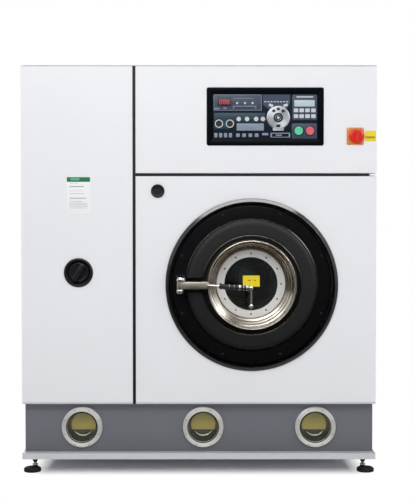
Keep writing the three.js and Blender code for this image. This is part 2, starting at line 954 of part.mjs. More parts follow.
// A frame on the panel's face, with a box behind it that holds the electronics.
function displayHousing() {
  const outline = roundedRectangle(displayWidth, displayRise, 10, displayX, displayHeight);
  const frame = frontal(outline, -bezelProud, -touchGap, { curveSegments: 3 });
  const box = block(
    displayX - screenWidth / 2 - 2 * sheet,
    displayX + screenWidth / 2 + 2 * sheet,
    -bezelProud + 1,
    displayBoxDepth,
    displayHeight - screenRise / 2 - 2 * sheet,
    displayHeight + screenRise / 2 + 2 * sheet,
  );
  const room = block(
    displayX - screenWidth / 2,
    displayX + screenWidth / 2,
    -bezelProud - beyond,
    displayBoxDepth - sheet,
    displayHeight - screenRise / 2,
    displayHeight + screenRise / 2,
  );
  add('display_housing', joined(frame, box).subtract(room), black());
}

function displayScreen() {
  const front = screenSetback - bezelProud;
  const back = front + screenThickness;
  let screen = block(
    displayX - screenWidth / 2 + touchGap,
    displayX + screenWidth / 2 - touchGap,
    front,
    back,
    displayHeight - screenRise / 2 + touchGap,
    displayHeight + screenRise / 2 - touchGap,
  );
  const bore = keyRadius + touchGap;
  for (const x of [startKeyX, stopKeyX]) {
    screen = screen.subtract(disc(bore, front - beyond, back + beyond, x, keyHeight, smallSteps));
  }
  add('display_screen', screen, material(0x19263a, 0.3, 0.0));
}

// A push button: a domed cap in the screen's hole, with a collar behind the screen.
function pushButton(name, x, color) {
  const front = screenSetback - bezelProud;
  const back = front + screenThickness;
  const profile = [
    [0, front - keyProud],
    [keyRadius - 4, front - keyProud + 0.6],
    [keyRadius, front - keyProud + 3],
    [keyRadius, back + touchGap],
    [keyRadius + keyCollar, back + touchGap],
    [keyRadius + keyCollar, back + 4],
    [6, back + 4],
    [6, back + 14],
    [0, back + 14],
  ];
  add(name, turned(profile, x, keyHeight, smallSteps, false), material(color, 0.4, 0.0));
}

function mainSwitch() {
  const half = switchPlateSize / 2;
  const outline = roundedRectangle(switchPlateSize, switchPlateSize, 4, switchX, switchHeight);
  const plate = frontal(outline, -switchPlateThickness, -touchGap, { curveSegments: 3 });
  const hole = disc(
    boreRound(switchShaftRadius, smallSteps),
    -switchPlateThickness - beyond,
    beyond,
    switchKnobX,
    switchHeight,
    smallSteps,
  );
  add('switch_plate', plate.subtract(hole), material(0xe8a01c, 0.4, 0.0));
  const face = -switchPlateThickness - runGap;
  const profile = [
    [0, face - switchKnobThickness],
    [switchKnobRadius - 4, face - switchKnobThickness],
    [switchKnobRadius - 1, face - switchKnobThickness + 4],
    [switchKnobRadius, face],
    [switchShaftRadius, face],
    [switchShaftRadius, panelThickness],
    [0, panelThickness],
  ];
  const knob = turned(profile, switchKnobX, switchHeight, middleSteps, false);
  const front = face - switchKnobThickness - switchBarRise;
  const bar = barGrip(half * 1.4, switchBarWidth, front, face - 4, switchKnobX, switchHeight, 90);
  add('switch_handle', joined(knob, bar), material(0xc9261e, 0.35, 0.0));
}

function frontPanel() {
  const bottom = frontPanelBottom;
  const pan = foldedPan(rightPanelLeft, halfWidth, bottom, frontPanelTop);
  const port = disc(trimSpigotRadius() + touchGap, -beyond, panelWall + beyond, portX, portHeight, largeSteps);
  const lockBore = boreRound(lockShaftRadius, smallSteps);
  const lockHole = disc(lockBore, -beyond, panelWall + beyond, lockX, lockHeight, smallSteps);
  const panel = pan
    .subtract(pivotHole(rightPivotX, bottom))
    .subtract(pivotHole(rightPivotX, frontPanelTop))
    .subtract(port)
    .subtract(lockHole);
  add('front_panel', panel, white());
}

function trimSpigotRadius() {
  return trimInnerRadius + sheet;
}

// A round trim that covers the cut edge of the port and lines it through the panel.
function trimRing() {
  const profile = [
    [trimInnerRadius, 4 - trimProud],
    [trimInnerRadius + 4, -trimProud],
    [trimOuterRadius - 8, -trimProud],
    [trimOuterRadius - 2, 4 - trimProud],
    [trimOuterRadius, 10 - trimProud],
    [trimOuterRadius, -touchGap],
    [trimSpigotRadius(), -touchGap],
    [trimSpigotRadius(), panelThickness],
    [trimInnerRadius, panelThickness],
  ];
  add('trim_ring', turned(profile, portX, portHeight, largeSteps), black());
}

function panelLock() {
  const profile = [
    [0, 3 - lockProud],
    [lockRadius - 8, 3 - lockProud],
    [lockRadius - 6, -lockProud],
    [lockRadius - 2, -lockProud],
    [lockRadius, 2 - lockProud],
    [lockRadius, -runGap],
    [0, -runGap],
  ];
  const knob = turned(profile, lockX, lockHeight, middleSteps, false);
  const turning = cam(lockX, lockHeight, lockShaftRadius, -runGap - beyond, latchCamLength);
  const front = -lockProud - beyond;
  const half = lockSlotWidth / 2;
  const slot = block(lockX - 14, lockX + 14, front, 6 - lockProud, lockHeight - half, lockHeight + half);
  add('panel_lock', joined(knob, turning).subtract(slot), black());
}

// ---- The fixed rings round the loading port ----

function frontRing() {
  const inner = neckRadius + neckWall + sheet;
  const back = tubFrontDepth - touchGap;
  const profile = [
    [inner, frontRingDepth],
    [frontRingRadius - 5, frontRingDepth],
    [frontRingRadius, frontRingDepth + 5],
    [frontRingRadius, back],
    [frontRingRadius - frontRingSheet, back],
    [frontRingRadius - frontRingSheet, frontRingDepth + frontRingSheet],
    [inner, frontRingDepth + frontRingSheet],
  ];
  add('front_ring', turned(profile, portX, portHeight, largeSteps), black());
}

// A flat ring with soft edges, cut right through on the hinge side to let the arm pass.
function coverRing() {
  const back = frontRingDepth - touchGap;
  const profile = [
    [coverInnerRadius, 5 - coverProud],
    [coverInnerRadius + 4, -coverProud],
    [coverOuterRadius - 14, 3 - coverProud],
    [coverOuterRadius - 4, 8 - coverProud],
    [coverOuterRadius, 16 - coverProud],
    [coverOuterRadius, back],
    [coverInnerRadius, back],
  ];
  const ring = turned(profile, portX, portHeight, largeSteps);
  const half = coverSlotRise / 2;
  const slot = block(
    portX - coverOuterRadius - beyond,
    portX - coverInnerRadius + 2 * sheet,
    -coverProud - beyond,
    back + beyond,
    portHeight - half,
    portHeight + half,
  );
  add('cover_ring', ring.subtract(slot), material(0x34363a, 0.45, 0.1));
}

function portSeal() {
  const outer = neckRadius - touchGap;
  const front = sealFrontDepth;
  const back = front + sealThickness;
  const profile = [
    [sealInnerRadius, front + 5],
    [sealInnerRadius + 4, front],
    [outer, front],
    [outer, back],
    [sealInnerRadius + 3, back],
  ];
  add('port_seal', turned(profile, portX, portHeight, largeSteps), rubber());
}

// ---- Loading door ----

// The inner face of the dish, a quarter of an ellipse from its rim to its floor.
function dishCurve(offset) {
  const points = [];
  const reach = dishRadius - beadRadius - dishFloorRadius;
  for (let i = 0; i <= dishSteps; i += 1) {
    const turn = (i / dishSteps) * (Math.PI / 2);
    const radius = dishFloorRadius + reach * Math.cos(turn) + offset * Math.cos(turn);
    const depth = -dishProud + beadRadius + (dishDepth - beadRadius) * Math.sin(turn) + offset * Math.sin(turn);
    points.push([radius, depth]);
  }
  return points;
}

function bead() {
  const points = [];
  const middle = dishRadius - beadRadius;
  for (let i = 0; i <= beadSteps; i += 1) {
    const turn = Math.PI - (i / beadSteps) * Math.PI;
    const radius = middle + beadRadius * Math.cos(turn) + beadRadius / 2;
    points.push([radius, -dishProud + beadRadius - beadRadius * Math.sin(turn)]);
  }
  return points;
}

// A spun dish with a rolled rim, a seating flange for the port seal and a flat floor for the window.
function doorDish() {
  const inside = dishCurve(0).slice(1);
  const outside = dishCurve(dishSheet).reverse().slice(0, -1);
  const floorBore = windowBoreRadius + 2 * sheet;
  const seatFront = sealFrontDepth - touchGap - 7;
  const seatBack = sealFrontDepth - touchGap;
  const wall = outside.filter(([, depth]) => depth > seatBack + dishSheet);
  const neck = sealInnerRadius - 3 * sheet + dishSheet;
  const profile = [
    ...inside.reverse(),
    ...bead(),
    [dishRadius - beadRadius + dishSheet, -dishProud + 2 * beadRadius],
    [dishRadius - beadRadius + dishSheet, seatFront],
    [dishSeatRadius, seatFront],
    [dishSeatRadius, seatBack],
    [neck, seatBack],
    ...wall.reverse(),
    [floorBore, windowDepth + dishSheet],
    [floorBore, windowDepth],
  ];
  add('door_dish', turned(profile, portX, portHeight, largeSteps), steel());
}

function windowRing() {
  const back = windowDepth - touchGap;
  const front = back - windowRingThickness;
  const seat = back - windowGlassThickness;
  const profile = [
    [windowBoreRadius, front],
    [windowRingRadius - 3, front],
    [windowRingRadius, front + 3],
    [windowRingRadius, back],
    [windowGlassRadius + touchGap, back],
    [windowGlassRadius + touchGap, seat],
    [windowBoreRadius, seat],
  ];
  add('window_ring', turned(profile, portX, portHeight, largeSteps), steel());
  const pane = disc(windowGlassRadius, seat + touchGap, back, portX, portHeight, largeSteps);
  add('window_glass', pane, glass());
}

// A fork of two ears on a base plate, bolted to the front ring beside the port.
function hingeBracket() {
  const back = frontRingDepth - touchGap;
  const base = block(
    hingeX - bracketWidth / 2,
    hingeX + bracketWidth / 2 - 2,
    back - bracketThickness,
    back,
    portHeight - bracketRise / 2,
    portHeight + bracketRise / 2,
  );
  const inner = armRise / 2 + runGap;
  const hole = post(
    boreRound(hingePinRadius, smallSteps),
    portHeight - bracketRise,
    portHeight + bracketRise,
    hingeX,
    hingeDepth,
    smallSteps,
  );
  let bracket = base;
  for (const [z0, z1] of [[inner, inner + earThickness], [-inner - earThickness, -inner]]) {
    bracket = bracket.add(ear(portHeight + z0, portHeight + z1, back - 1));
  }
  add('hinge_bracket', bracket.subtract(hole), chrome());
}

function ear(z0, z1, back) {
  const shape = new THREE.Shape();
  shape.moveTo(hingeX + earRadius, back);
  shape.lineTo(hingeX - earRadius, back);
  shape.lineTo(hingeX - earRadius, hingeDepth);
  shape.absarc(hingeX, hingeDepth, earRadius, Math.PI, Math.PI * 2, false);
  const geometry = new THREE.ExtrudeGeometry(shape, { depth: z1 - z0, bevelEnabled: false, curveSegments: 8 });
  geometry.translate(0, 0, z0);
  return solid(geometry);
}

function hingePin() {
  const top = armRise / 2 + runGap + earThickness + touchGap;
  const profile = [
    [0, portHeight - top - hingePinHeadRise],
    [hingePinHeadRadius - 2, portHeight - top - hingePinHeadRise],
    [hingePinHeadRadius, portHeight - top - hingePinHeadRise + 2],
    [hingePinHeadRadius, portHeight - top],
    [hingePinRadius, portHeight - top],
    [hingePinRadius, portHeight + top],
    [hingePinHeadRadius, portHeight + top],
    [hingePinHeadRadius, portHeight + top + hingePinHeadRise - 2],
    [hingePinHeadRadius - 2, portHeight + top + hingePinHeadRise],
    [0, portHeight + top + hingePinHeadRise],
  ];
  add('hinge_pin', upright(profile, hingeX, hingeDepth, smallSteps, false), chrome());
}

// Turns a piece of the arm down about the point where it crosses the rim.
function drooped(body) {
  const x = portX - dishRadius;
  return body
    .translate([-x, 0, -portHeight])
    .rotate([0, gripDroop, 0])
    .translate([x, 0, portHeight]);
}

// A barrel round the pin, a flat bar over the ring, a foot on the dish and a rod that carries the grip.
function doorArm() {
  const half = armRise / 2;
  const rimX = portX - dishRadius;
  const barrel = post(armBarrelRadius, portHeight - half, portHeight + half, hingeX, hingeDepth, smallSteps);
  const bar = block(
    hingeX,
    rimX + 2 * beadRadius,
    hingeDepth - armThickness / 2,
    hingeDepth + armThickness / 2,
    portHeight - half,
    portHeight + half,
  );
  const foot = block(
    rimX - armFootWidth,
    rimX + 2 * beadRadius,
    hingeDepth,
    -coverProud,
    portHeight - half,
    portHeight + half,
  );
  const rodStart = dishRadius + neckRodRadius;
  const rodEnd = gripEnd() + neckRodRadius * 2;
  const rod = crosswise(
    [[0, portX - rodStart], [neckRodRadius, portX - rodStart], [neckRodRadius, rodEnd], [0, rodEnd]],
    hingeDepth,
    portHeight,
    pinSteps,
    false,
  );
  const hole = post(
    boreRound(hingePinRadius, smallSteps),
    portHeight - armRise,
    portHeight + armRise,
    hingeX,
    hingeDepth,
    smallSteps,
  );
  const rimGap = touchGap + sheet;
  const rimRoom = disc(dishRadius + rimGap, -dishProud - rimGap, 0, portX, portHeight, largeSteps);
  const body = joined(barrel, bar, foot.subtract(rimRoom), drooped(rod)).subtract(hole);
  add('door_arm', body.subtract(leverRoom()), steel());
}

function gripEnd() {
  return portX - gripStart + gripLength;
}

// Ribs that swell and thin along the grip as a row of shallow waves.
function doorGrip() {
  const start = portX - gripStart;
  const bore = neckRodRadius + touchGap;
  const profile = [[bore, start], [gripRadius - 2, start]];
  for (let i = 0; i < gripRibs; i += 1) {
    const x0 = start + 8 + (i * (gripLength - 16)) / gripRibs;
    const pitch = (gripLength - 16) / gripRibs;
    profile.push([gripRadius, x0]);
    profile.push([gripRadius, x0 + pitch * 0.6]);
    profile.push([gripRadius - gripRibDepth, x0 + pitch * 0.75]);
  }
  profile.push([gripRadius - 2, start + gripLength]);
  profile.push([bore, start + gripLength]);
  add('door_grip', drooped(crosswise(profile, hingeDepth, portHeight, pinSteps)), rubber());
}

function leverPoint() {
  const drop = Math.sin(THREE.MathUtils.degToRad(gripDroop)) * (gripEnd() - portX + dishRadius);
  return { x: gripEnd() + neckRodRadius, z: portHeight - drop };
}

function leverRoom() {
  const { x, z } = leverPoint();
  const front = hingeDepth - leverThickness / 2 - runGap;
  const back = hingeDepth + leverThickness / 2 + runGap;
  const reach = leverHubRadius + runGap;
  return block(x - reach, x + 2 * reach, front, back, z - 2 * reach, z + 2 * reach);
}

// A thin rod with a ball, hung from a hub at the end of the grip.
function releaseLever() {
  const { x, z } = leverPoint();
  const front = hingeDepth - leverThickness / 2;
  const hub = disc(leverHubRadius, front, front + leverThickness, x, z, smallSteps);
  const rod = post(leverRodRadius, z - leverLength, z - leverHubRadius + 2, x, hingeDepth, pinSteps);
  const ball = new THREE.SphereGeometry(leverBallRadius, pinSteps, 8);
  ball.rotateX(Math.PI / 2);
  ball.translate(x, hingeDepth, z - leverLength);
  add('release_lever', joined(hub, rod, solid(ball)), chrome());
}

// ---- Tub and drum ----

function tub() {
  const outer = neckRadius + neckWall;
  const profile = [
    [neckRadius, 3 - neckProud],
    [neckRadius + 2, -neckProud],
    [outer + neckLip, -neckProud],
    [outer + neckLip, 6 - neckProud],
    [outer, 7 - neckProud],
    [outer, tubFrontDepth],
    [tubRadius, tubFrontDepth],
    [tubRadius, tubBackDepth],
    [shaftRadius + 12, tubBackDepth],
    [shaftRadius + 12, tubBackDepth - tubWall],
    [tubRadius - tubWall, tubBackDepth - tubWall],
    [tubRadius - tubWall, tubFrontDepth + tubWall],
    [neckRadius, tubFrontDepth + tubWall],
  ];
  add('tub', turned(profile, portX, portHeight, largeSteps), steel());
}

// Two hollowed plates on a frame of flat bars, which carry the tub on the deck.
function tubCradle() {
  const left = portX - cradleHalfWidth;
  const right = portX + cradleHalfWidth;
  const low = deckTop + touchGap;
  const high = low + cradleThickness;
  const back = cradleBackDepth + flangeWidth;
  let cradle = joined(
    block(left, left + flangeWidth, cradleFrontDepth, back, low, high),
    block(right - flangeWidth, right, cradleFrontDepth, back, low, high),
  );
  for (const depth of [cradleFrontDepth, cradleBackDepth]) {
    cradle = cradle.add(block(left, right, depth, depth + cradleThickness, low, cradleTop));
    cradle = cradle.add(block(left, right, depth, depth + flangeWidth, low, high));
  }
  const front = cradleFrontDepth - beyond;
  const room = disc(tubRadius + touchGap, front, back + beyond, portX, portHeight, largeSteps);
  add('tub_cradle', cradle.subtract(room), castGrey());
}

// One hollow sheet paddle, standing in from the drum's wall.
function lifter(turn) {
  const outer = drumRadius - drumWall / 2;
  const inner = drumRadius - lifterRise;
  const shape = new THREE.Shape(toPoints([
    [-lifterBase / 2, outer - 6],
    [-lifterTip / 2, inner + 10],
    [-lifterTip / 4, inner],
    [lifterTip / 4, inner],
    [lifterTip / 2, inner + 10],
    [lifterBase / 2, outer - 6],
  ]));
  const depth = drumBackDepth - drumFrontDepth - 2.5 * drumWall;
  const geometry = new THREE.ExtrudeGeometry(shape, { depth, bevelEnabled: false });
  geometry.rotateZ(turn);
  geometry.rotateX(Math.PI / 2);
  geometry.translate(portX, drumBackDepth - drumWall / 2, portHeight);
  return solid(geometry);
}

// The cage: a rolled mouth, a coned front, the wall, the back with its hub, and the shaft.
function drum() {
  const hubFront = drumBackDepth - 18;
  const profile = [
    [0, hubFront],
    [hubRadius - 16, hubFront + 2],
    [hubRadius, drumBackDepth - drumWall],
    [drumRadius - drumWall, drumBackDepth - drumWall],
    [drumRadius - drumWall, drumFrontDepth + drumWall],
    [drumMouthRadius + 3, drumMouthDepth + drumWall + 2],
    [drumMouthRadius, drumMouthDepth + 4],
    [drumMouthRadius + 2, drumMouthDepth],
    [drumMouthRadius + 8, drumMouthDepth],
    [drumRadius - 6, drumFrontDepth],
    [drumRadius, drumFrontDepth + 6],
    [drumRadius, drumBackDepth],
    [hubRadius, drumBackDepth],
    [hubRadius - 6, drumBackDepth + 12],
    [shaftRadius, drumBackDepth + 14],
    [shaftRadius, shaftEndDepth],
    [0, shaftEndDepth],
  ];
  let cage = turned(profile, portX, portHeight, largeSteps, false);
  for (let i = 0; i < lifterCount; i += 1) {
    cage = cage.add(lifter((i * 2 * Math.PI) / lifterCount));
  }
  add('drum', cage, steel());
}

// ---- Drive ----

function bearingHousing() {
  const bore = shaftRadius + runGap;
  const front = bearingFront;
  const profile = [
    [bore, front],
    [bearingFlangeRadius, front],
    [bearingFlangeRadius, front + bearingFlangeThickness],
    [bearingBarrelRadius, front + bearingFlangeThickness],
    [bearingBarrelRadius - 8, bearingBack],
    [bore, bearingBack],
  ];
  let housing = turned(profile, portX, portHeight, innerSteps);
  for (let i = 0; i < bearingRibs; i += 1) {
    housing = housing.add(bearingRib((i * 2 * Math.PI) / bearingRibs, front));
  }
  add('bearing_housing', housing, castGrey());
}

function bearingRib(turn, front) {
  const start = bearingBarrelRadius - 12;
  const shape = new THREE.Shape(toPoints([
    [start, front + 2],
    [bearingFlangeRadius - 6, front + 2],
    [bearingFlangeRadius - 6, front + bearingFlangeThickness + 4],
    [bearingBarrelRadius, front + bearingLength * 0.8],
    [start, front + bearingLength * 0.8],
  ]));
  const geometry = new THREE.ExtrudeGeometry(shape, { depth: bearingRibThickness, bevelEnabled: false });
  geometry.translate(0, 0, -bearingRibThickness / 2);
  geometry.rotateY(turn);
  geometry.translate(portX, 0, portHeight);
  return solid(geometry);
}

// The rim of a flat-belt pulley, with a flange at each edge.
function pulleyRim(radius, inner, x, z, steps) {
  const half = pulleyWidth / 2;
  const groove = radius - pulleyFlangeRise;
  const profile = [
    [inner, pulleyDepth - half],
    [radius, pulleyDepth - half],
    [radius, pulleyDepth - half + 5],
    [groove, pulleyDepth - half + 7],
    [groove, pulleyDepth + half - 7],
    [radius, pulleyDepth + half - 5],
    [radius, pulleyDepth + half],
    [inner, pulleyDepth + half],
  ];
  return turned(profile, x, z, steps);
}

function drumPulley() {
  const bore = boreRound(shaftRadius, innerSteps);
  const half = pulleyWidth / 2;
  const inner = pulleyBottomRadius - drumPulleyRim;
  const hubProfile = [
    [bore, pulleyDepth - half],
    [pulleyHubRadius, pulleyDepth - half],
    [pulleyHubRadius, pulleyDepth + half],
    [bore, pulleyDepth + half],
  ];
  const hub = turned(hubProfile, portX, portHeight, innerSteps);
  let pulley = joined(pulleyRim(drumPulleyRadius, inner, portX, portHeight, innerSteps), hub);
  for (let i = 0; i < pulleySpokes; i += 1) {
    pulley = pulley.add(pulleySpoke((i * 2 * Math.PI) / pulleySpokes, pulleyHubRadius - 6, inner + 6));
  }
  add('drum_pulley', pulley, castGrey());
}

function pulleySpoke(turn, from, to) {
  const half = pulleySpokeThickness / 2;
  const shape = new THREE.Shape(toPoints([
    [from, -pulleySpokeWidth / 2],
    [to, -pulleySpokeWidth / 3],
    [to, pulleySpokeWidth / 3],
    [from, pulleySpokeWidth / 2],
  ]));
  const geometry = new THREE.ExtrudeGeometry(shape, { depth: pulleySpokeThickness, bevelEnabled: false });
  geometry.rotateZ(turn);
  geometry.rotateX(Math.PI / 2);
  geometry.translate(portX, pulleyDepth + half, portHeight);
  return solid(geometry);
}

function motorPulley() {
  const end = pulleyDepth + pulleyWidth / 2;
  const start = motorFrontDepth + motorLength - 30;
  const inner = motorShaftRadius - 2;
  const rim = pulleyRim(motorPulleyRadius, inner, motorX, motorHeight, innerSteps);
  const shaft = disc(motorShaftRadius, start, end + 8, motorX, motorHeight, smallSteps);
  add('motor_pulley', joined(rim, shaft), castGrey());
}

// The outline of a belt round both pulleys: two arcs joined by their common tangents.
function beltOutline(drumRadiusOut, motorRadiusOut) {
  const apart = new THREE.Vector2(motorX - portX, motorHeight - portHeight);
  const heading = apart.angle();
  const lean = Math.acos((drumRadiusOut - motorRadiusOut) / apart.length());
  const shape = new THREE.Shape();
  shape.absarc(portX, portHeight, drumRadiusOut, heading + lean, heading - lean + 2 * Math.PI, false);
  shape.absarc(motorX, motorHeight, motorRadiusOut, heading - lean, heading + lean, false);
  return shape;
}

function driveBelt() {
  const half = pulleyWidth / 2 - 7 - runGap;
  const drumRun = pulleyBottomRadius + beltClearance;
  const motorRun = motorPulleyRadius - pulleyFlangeRise + beltClearance;
  const options = { curveSegments: 12 };
  const depth0 = pulleyDepth - half;
  const depth1 = pulleyDepth + half;
  const outline = beltOutline(drumRun + beltThickness, motorRun + beltThickness);
  const outside = frontal(outline, depth0, depth1, options);
  const inside = frontal(beltOutline(drumRun, motorRun), depth0 - beyond, depth1 + beyond, options);
  add('drive_belt', outside.subtract(inside), rubber());
}

function driveMotor() {
  const back = motorFrontDepth + motorLength;
  const profile = [
    [0, motorFrontDepth],
    [motorRadius - 14, motorFrontDepth],
    [motorRadius, motorFrontDepth + 12],
    [motorRadius, back - 8],
    [motorRadius - 18, back],
    [0, back],
  ];
  let motor = turned(profile, motorX, motorHeight, innerSteps, false);
  for (let i = 0; i < motorFins; i += 1) {
    motor = motor.add(motorFin((i * 2 * Math.PI) / motorFins));
  }
  const foot = block(
    motorX - motorFootWidth / 2,
    motorX + motorFootWidth / 2,
    motorFrontDepth + 20,
    back - 20,
    deckTop + touchGap,
    deckTop + 14,
  );
  const pedestal = block(
    motorX - motorFootWidth / 3,
    motorX + motorFootWidth / 3,
    motorFrontDepth + 30,
    back - 30,
    deckTop + 10,
    motorHeight - motorRadius * 0.6,
  );
  const boreRadius = boreRound(motorShaftRadius, smallSteps);
  const bore = disc(boreRadius, back - 34, back + beyond, motorX, motorHeight, smallSteps);
  add('drive_motor', joined(motor, foot, pedestal).subtract(bore), castGrey());
}

function motorFin(turn) {
  const half = motorFinThickness / 2;
  const shape = new THREE.Shape(toPoints([
    [motorRadius - 6, -half],
    [motorRadius + motorFinRise, -half],
    [motorRadius + motorFinRise, half],
    [motorRadius - 6, half],
  ]));
  const geometry = new THREE.ExtrudeGeometry(shape, { depth: motorLength - 50, bevelEnabled: false });
  geometry.rotateZ(turn);
  geometry.rotateX(Math.PI / 2);
  geometry.translate(motorX, motorFrontDepth + motorLength - 22, motorHeight);
  return solid(geometry);
}

// ---- Drying fan ----

// A scroll that grows steadily round the fan and opens downwards into its duct.
function scrollShape(inset) {
  const shape = new THREE.Shape();
  const steps = 24;
  const start = -Math.PI / 2 - fanScrollLap;
  const points = [];
  for (let i = 0; i <= steps; i += 1) {
    const share = i / steps;
    const turn = start + share * (Math.PI - start);
    const radius = fanRadius + fanScrollGap + share * fanScrollGrowth - inset;
    points.push([fanX + radius * Math.cos(turn), fanHeight + radius * Math.sin(turn)]);
  }
  shape.setFromPoints(toPoints(points));
  return shape;
}

function fanHousing() {
  const depth0 = fanFrontDepth;
  const depth1 = depth0 + fanHousingDepth;
  const wall = fanHousingWall;
  const left = fanX - fanRadius - fanScrollGap - fanScrollGrowth;
  const ductBottom = portHeight + Math.sqrt(tubRadius ** 2 - 60 ** 2) - 30;
  const duct = (inset, low) => block(
    left + inset,
    left + ductWidth - inset,
    depth0 + inset,
    depth1 - inset,
    low,
    fanHeight,
  );
  const shell = joined(frontal(scrollShape(0), depth0, depth1), duct(0, ductBottom));
  const room = joined(frontal(scrollShape(wall), depth0 + wall, depth1 - wall), duct(wall, ductBottom - beyond));
  const front = depth0 - beyond;
  const back = depth1 + beyond;
  const shaftBore = fanShaftRadius + runGap;
  const tubRoom = disc(tubRadius + touchGap, front, back, portX, portHeight, largeSteps);
  const inlet = disc(fanInletRadius, front, depth0 + wall + beyond, fanX, fanHeight, innerSteps);
  const shaftHole = disc(shaftBore, depth1 - wall - beyond, back, fanX, fanHeight, smallSteps);
  const cased = shell.subtract(room).subtract(tubRoom).subtract(inlet).subtract(shaftHole);
  add('fan_housing', cased, steel());
}

function fanImpeller() {
  const front = fanFrontDepth + fanHousingWall + 8;
  const back = fanFrontDepth + fanHousingDepth - fanHousingWall - 8;
  const profile = [
    [0, back - 40],
    [fanHubRadius, back - 34],
    [fanHubRadius, back - 6],
    [fanRadius, back - 6],
    [fanRadius, back],
    [fanShaftRadius, back],
    [fanShaftRadius, back + 60],
    [0, back + 60],
  ];
  let wheel = turned(profile, fanX, fanHeight, innerSteps, false);
  const blade = new THREE.Shape(toPoints([
    [fanInletRadius + 6, -fanBladeThickness / 2],
    [fanRadius - 1, fanBladeThickness * 3],
    [fanRadius - 1, fanBladeThickness * 4],
    [fanInletRadius + 6, fanBladeThickness / 2],
  ]));
  for (let i = 0; i < fanBlades; i += 1) {
    const geometry = new THREE.ExtrudeGeometry(blade, { depth: back - 3 - front, bevelEnabled: false });
    geometry.rotateZ((i * 2 * Math.PI) / fanBlades);
    geometry.rotateX(Math.PI / 2);
    geometry.translate(fanX, back - 3, fanHeight);
    wheel = wheel.add(solid(geometry));
  }
  add('fan_impeller', wheel, steel());
}

// ---- Service bay ----

// An upright boiler on a skirt, with domed ends and a bolted cover over its cleaning neck.
function still() {
  const base = deckTop + touchGap;
  const low = base + stillSkirtRise;
  const high = low + stillRise;
  const profile = [
    [0, low],
    [stillRadius * 0.7, low + 4],
    [stillRadius - 12, low + 30],
    [stillRadius - 12, base],
    [stillRadius, base],
    [stillRadius, high - 50],
    [stillRadius * 0.8, high - 14],
    [stillRadius * 0.45, high],
    [34, high + 4],
    [34, high + 50],
    [52, high + 50],
    [52, high + 62],
    [0, high + 62],
  ];
  const vessel = upright(profile, stillX, stillDepth, innerSteps, false);
  const neckFront = stillDepth - manholeReach;
  const neck = disc(manholeRadius - 12, neckFront, stillDepth, stillX, manholeHeight, innerSteps);
  const cover = turned(
    [
      [0, neckFront - 18],
      [manholeRadius - 6, neckFront - 14],
      [manholeRadius, neckFront - 10],
      [manholeRadius, neckFront + stillSheet],
      [0, neckFront + stillSheet],
    ],
    stillX,
    manholeHeight,
    innerSteps,
    false,
  );
  add('still_vessel', joined(vessel, neck, cover), steel());
}

function solventFilter() {
  const base = deckTop + touchGap;
  const top = base + filterRise;
  const profile = [
    [0, base],
    [filterRadius * 0.8, base],
    [filterRadius * 0.8, base + 90],
    [filterRadius, base + 120],
    [filterRadius, top - 90],
    [filterRadius + filterClampWidth, top - 86],
    [filterRadius + filterClampWidth, top - 86 + filterClampRise],
    [filterRadius, top - 82 + filterClampRise],
    [filterRadius * 0.9, top - 30],
    [filterRadius * 0.5, top],
    [0, top + 4],
  ];
  const inlet = disc(
    pipeFlangeRadius,
    filterDepth - filterRadius - filterInletReach,
    filterDepth,
    filterX,
    deckTop + filterInletRise,
    smallSteps,
  );
  add('solvent_filter', joined(upright(profile, filterX, filterDepth, innerSteps, false), inlet), steel());
}

// A volute pump in front of its motor, on one foot.
function solventPump() {
  const front = pumpDepth;
  const back = front + pumpThickness;
  const volute = turned(
    [
      [0, front],
      [pumpRadius - 8, front],
      [pumpRadius, front + 8],
      [pumpRadius, back - 8],
      [pumpRadius - 8, back],
      [0, back],
    ],
    pumpX,
    pumpHeight,
    innerSteps,
    false,
  );
  const motor = disc(pumpMotorRadius, back - beyond, back + pumpMotorLength, pumpX, pumpHeight, innerSteps);
  const foot = block(
    pumpX - pumpFootWidth / 2,
    pumpX + pumpFootWidth / 2,
    front + 10,
    back + pumpMotorLength - 10,
    deckTop + touchGap,
    deckTop + 12,
  );
  const web = block(
    pumpX - pumpFootWidth / 4,
    pumpX + pumpFootWidth / 4,
    front + 20,
    back + pumpMotorLength - 20,
    deckTop + 8,
    pumpHeight,
  );
  const outlet = post(
    pipeRadius + 6,
    pumpHeight,
    pumpHeight + pumpRadius + 24,
    pumpX + pumpRadius / 2,
    front + pumpThickness / 2,
    smallSteps,
  );
  add('solvent_pump', joined(volute, motor, foot, web, outlet), castGrey());
}

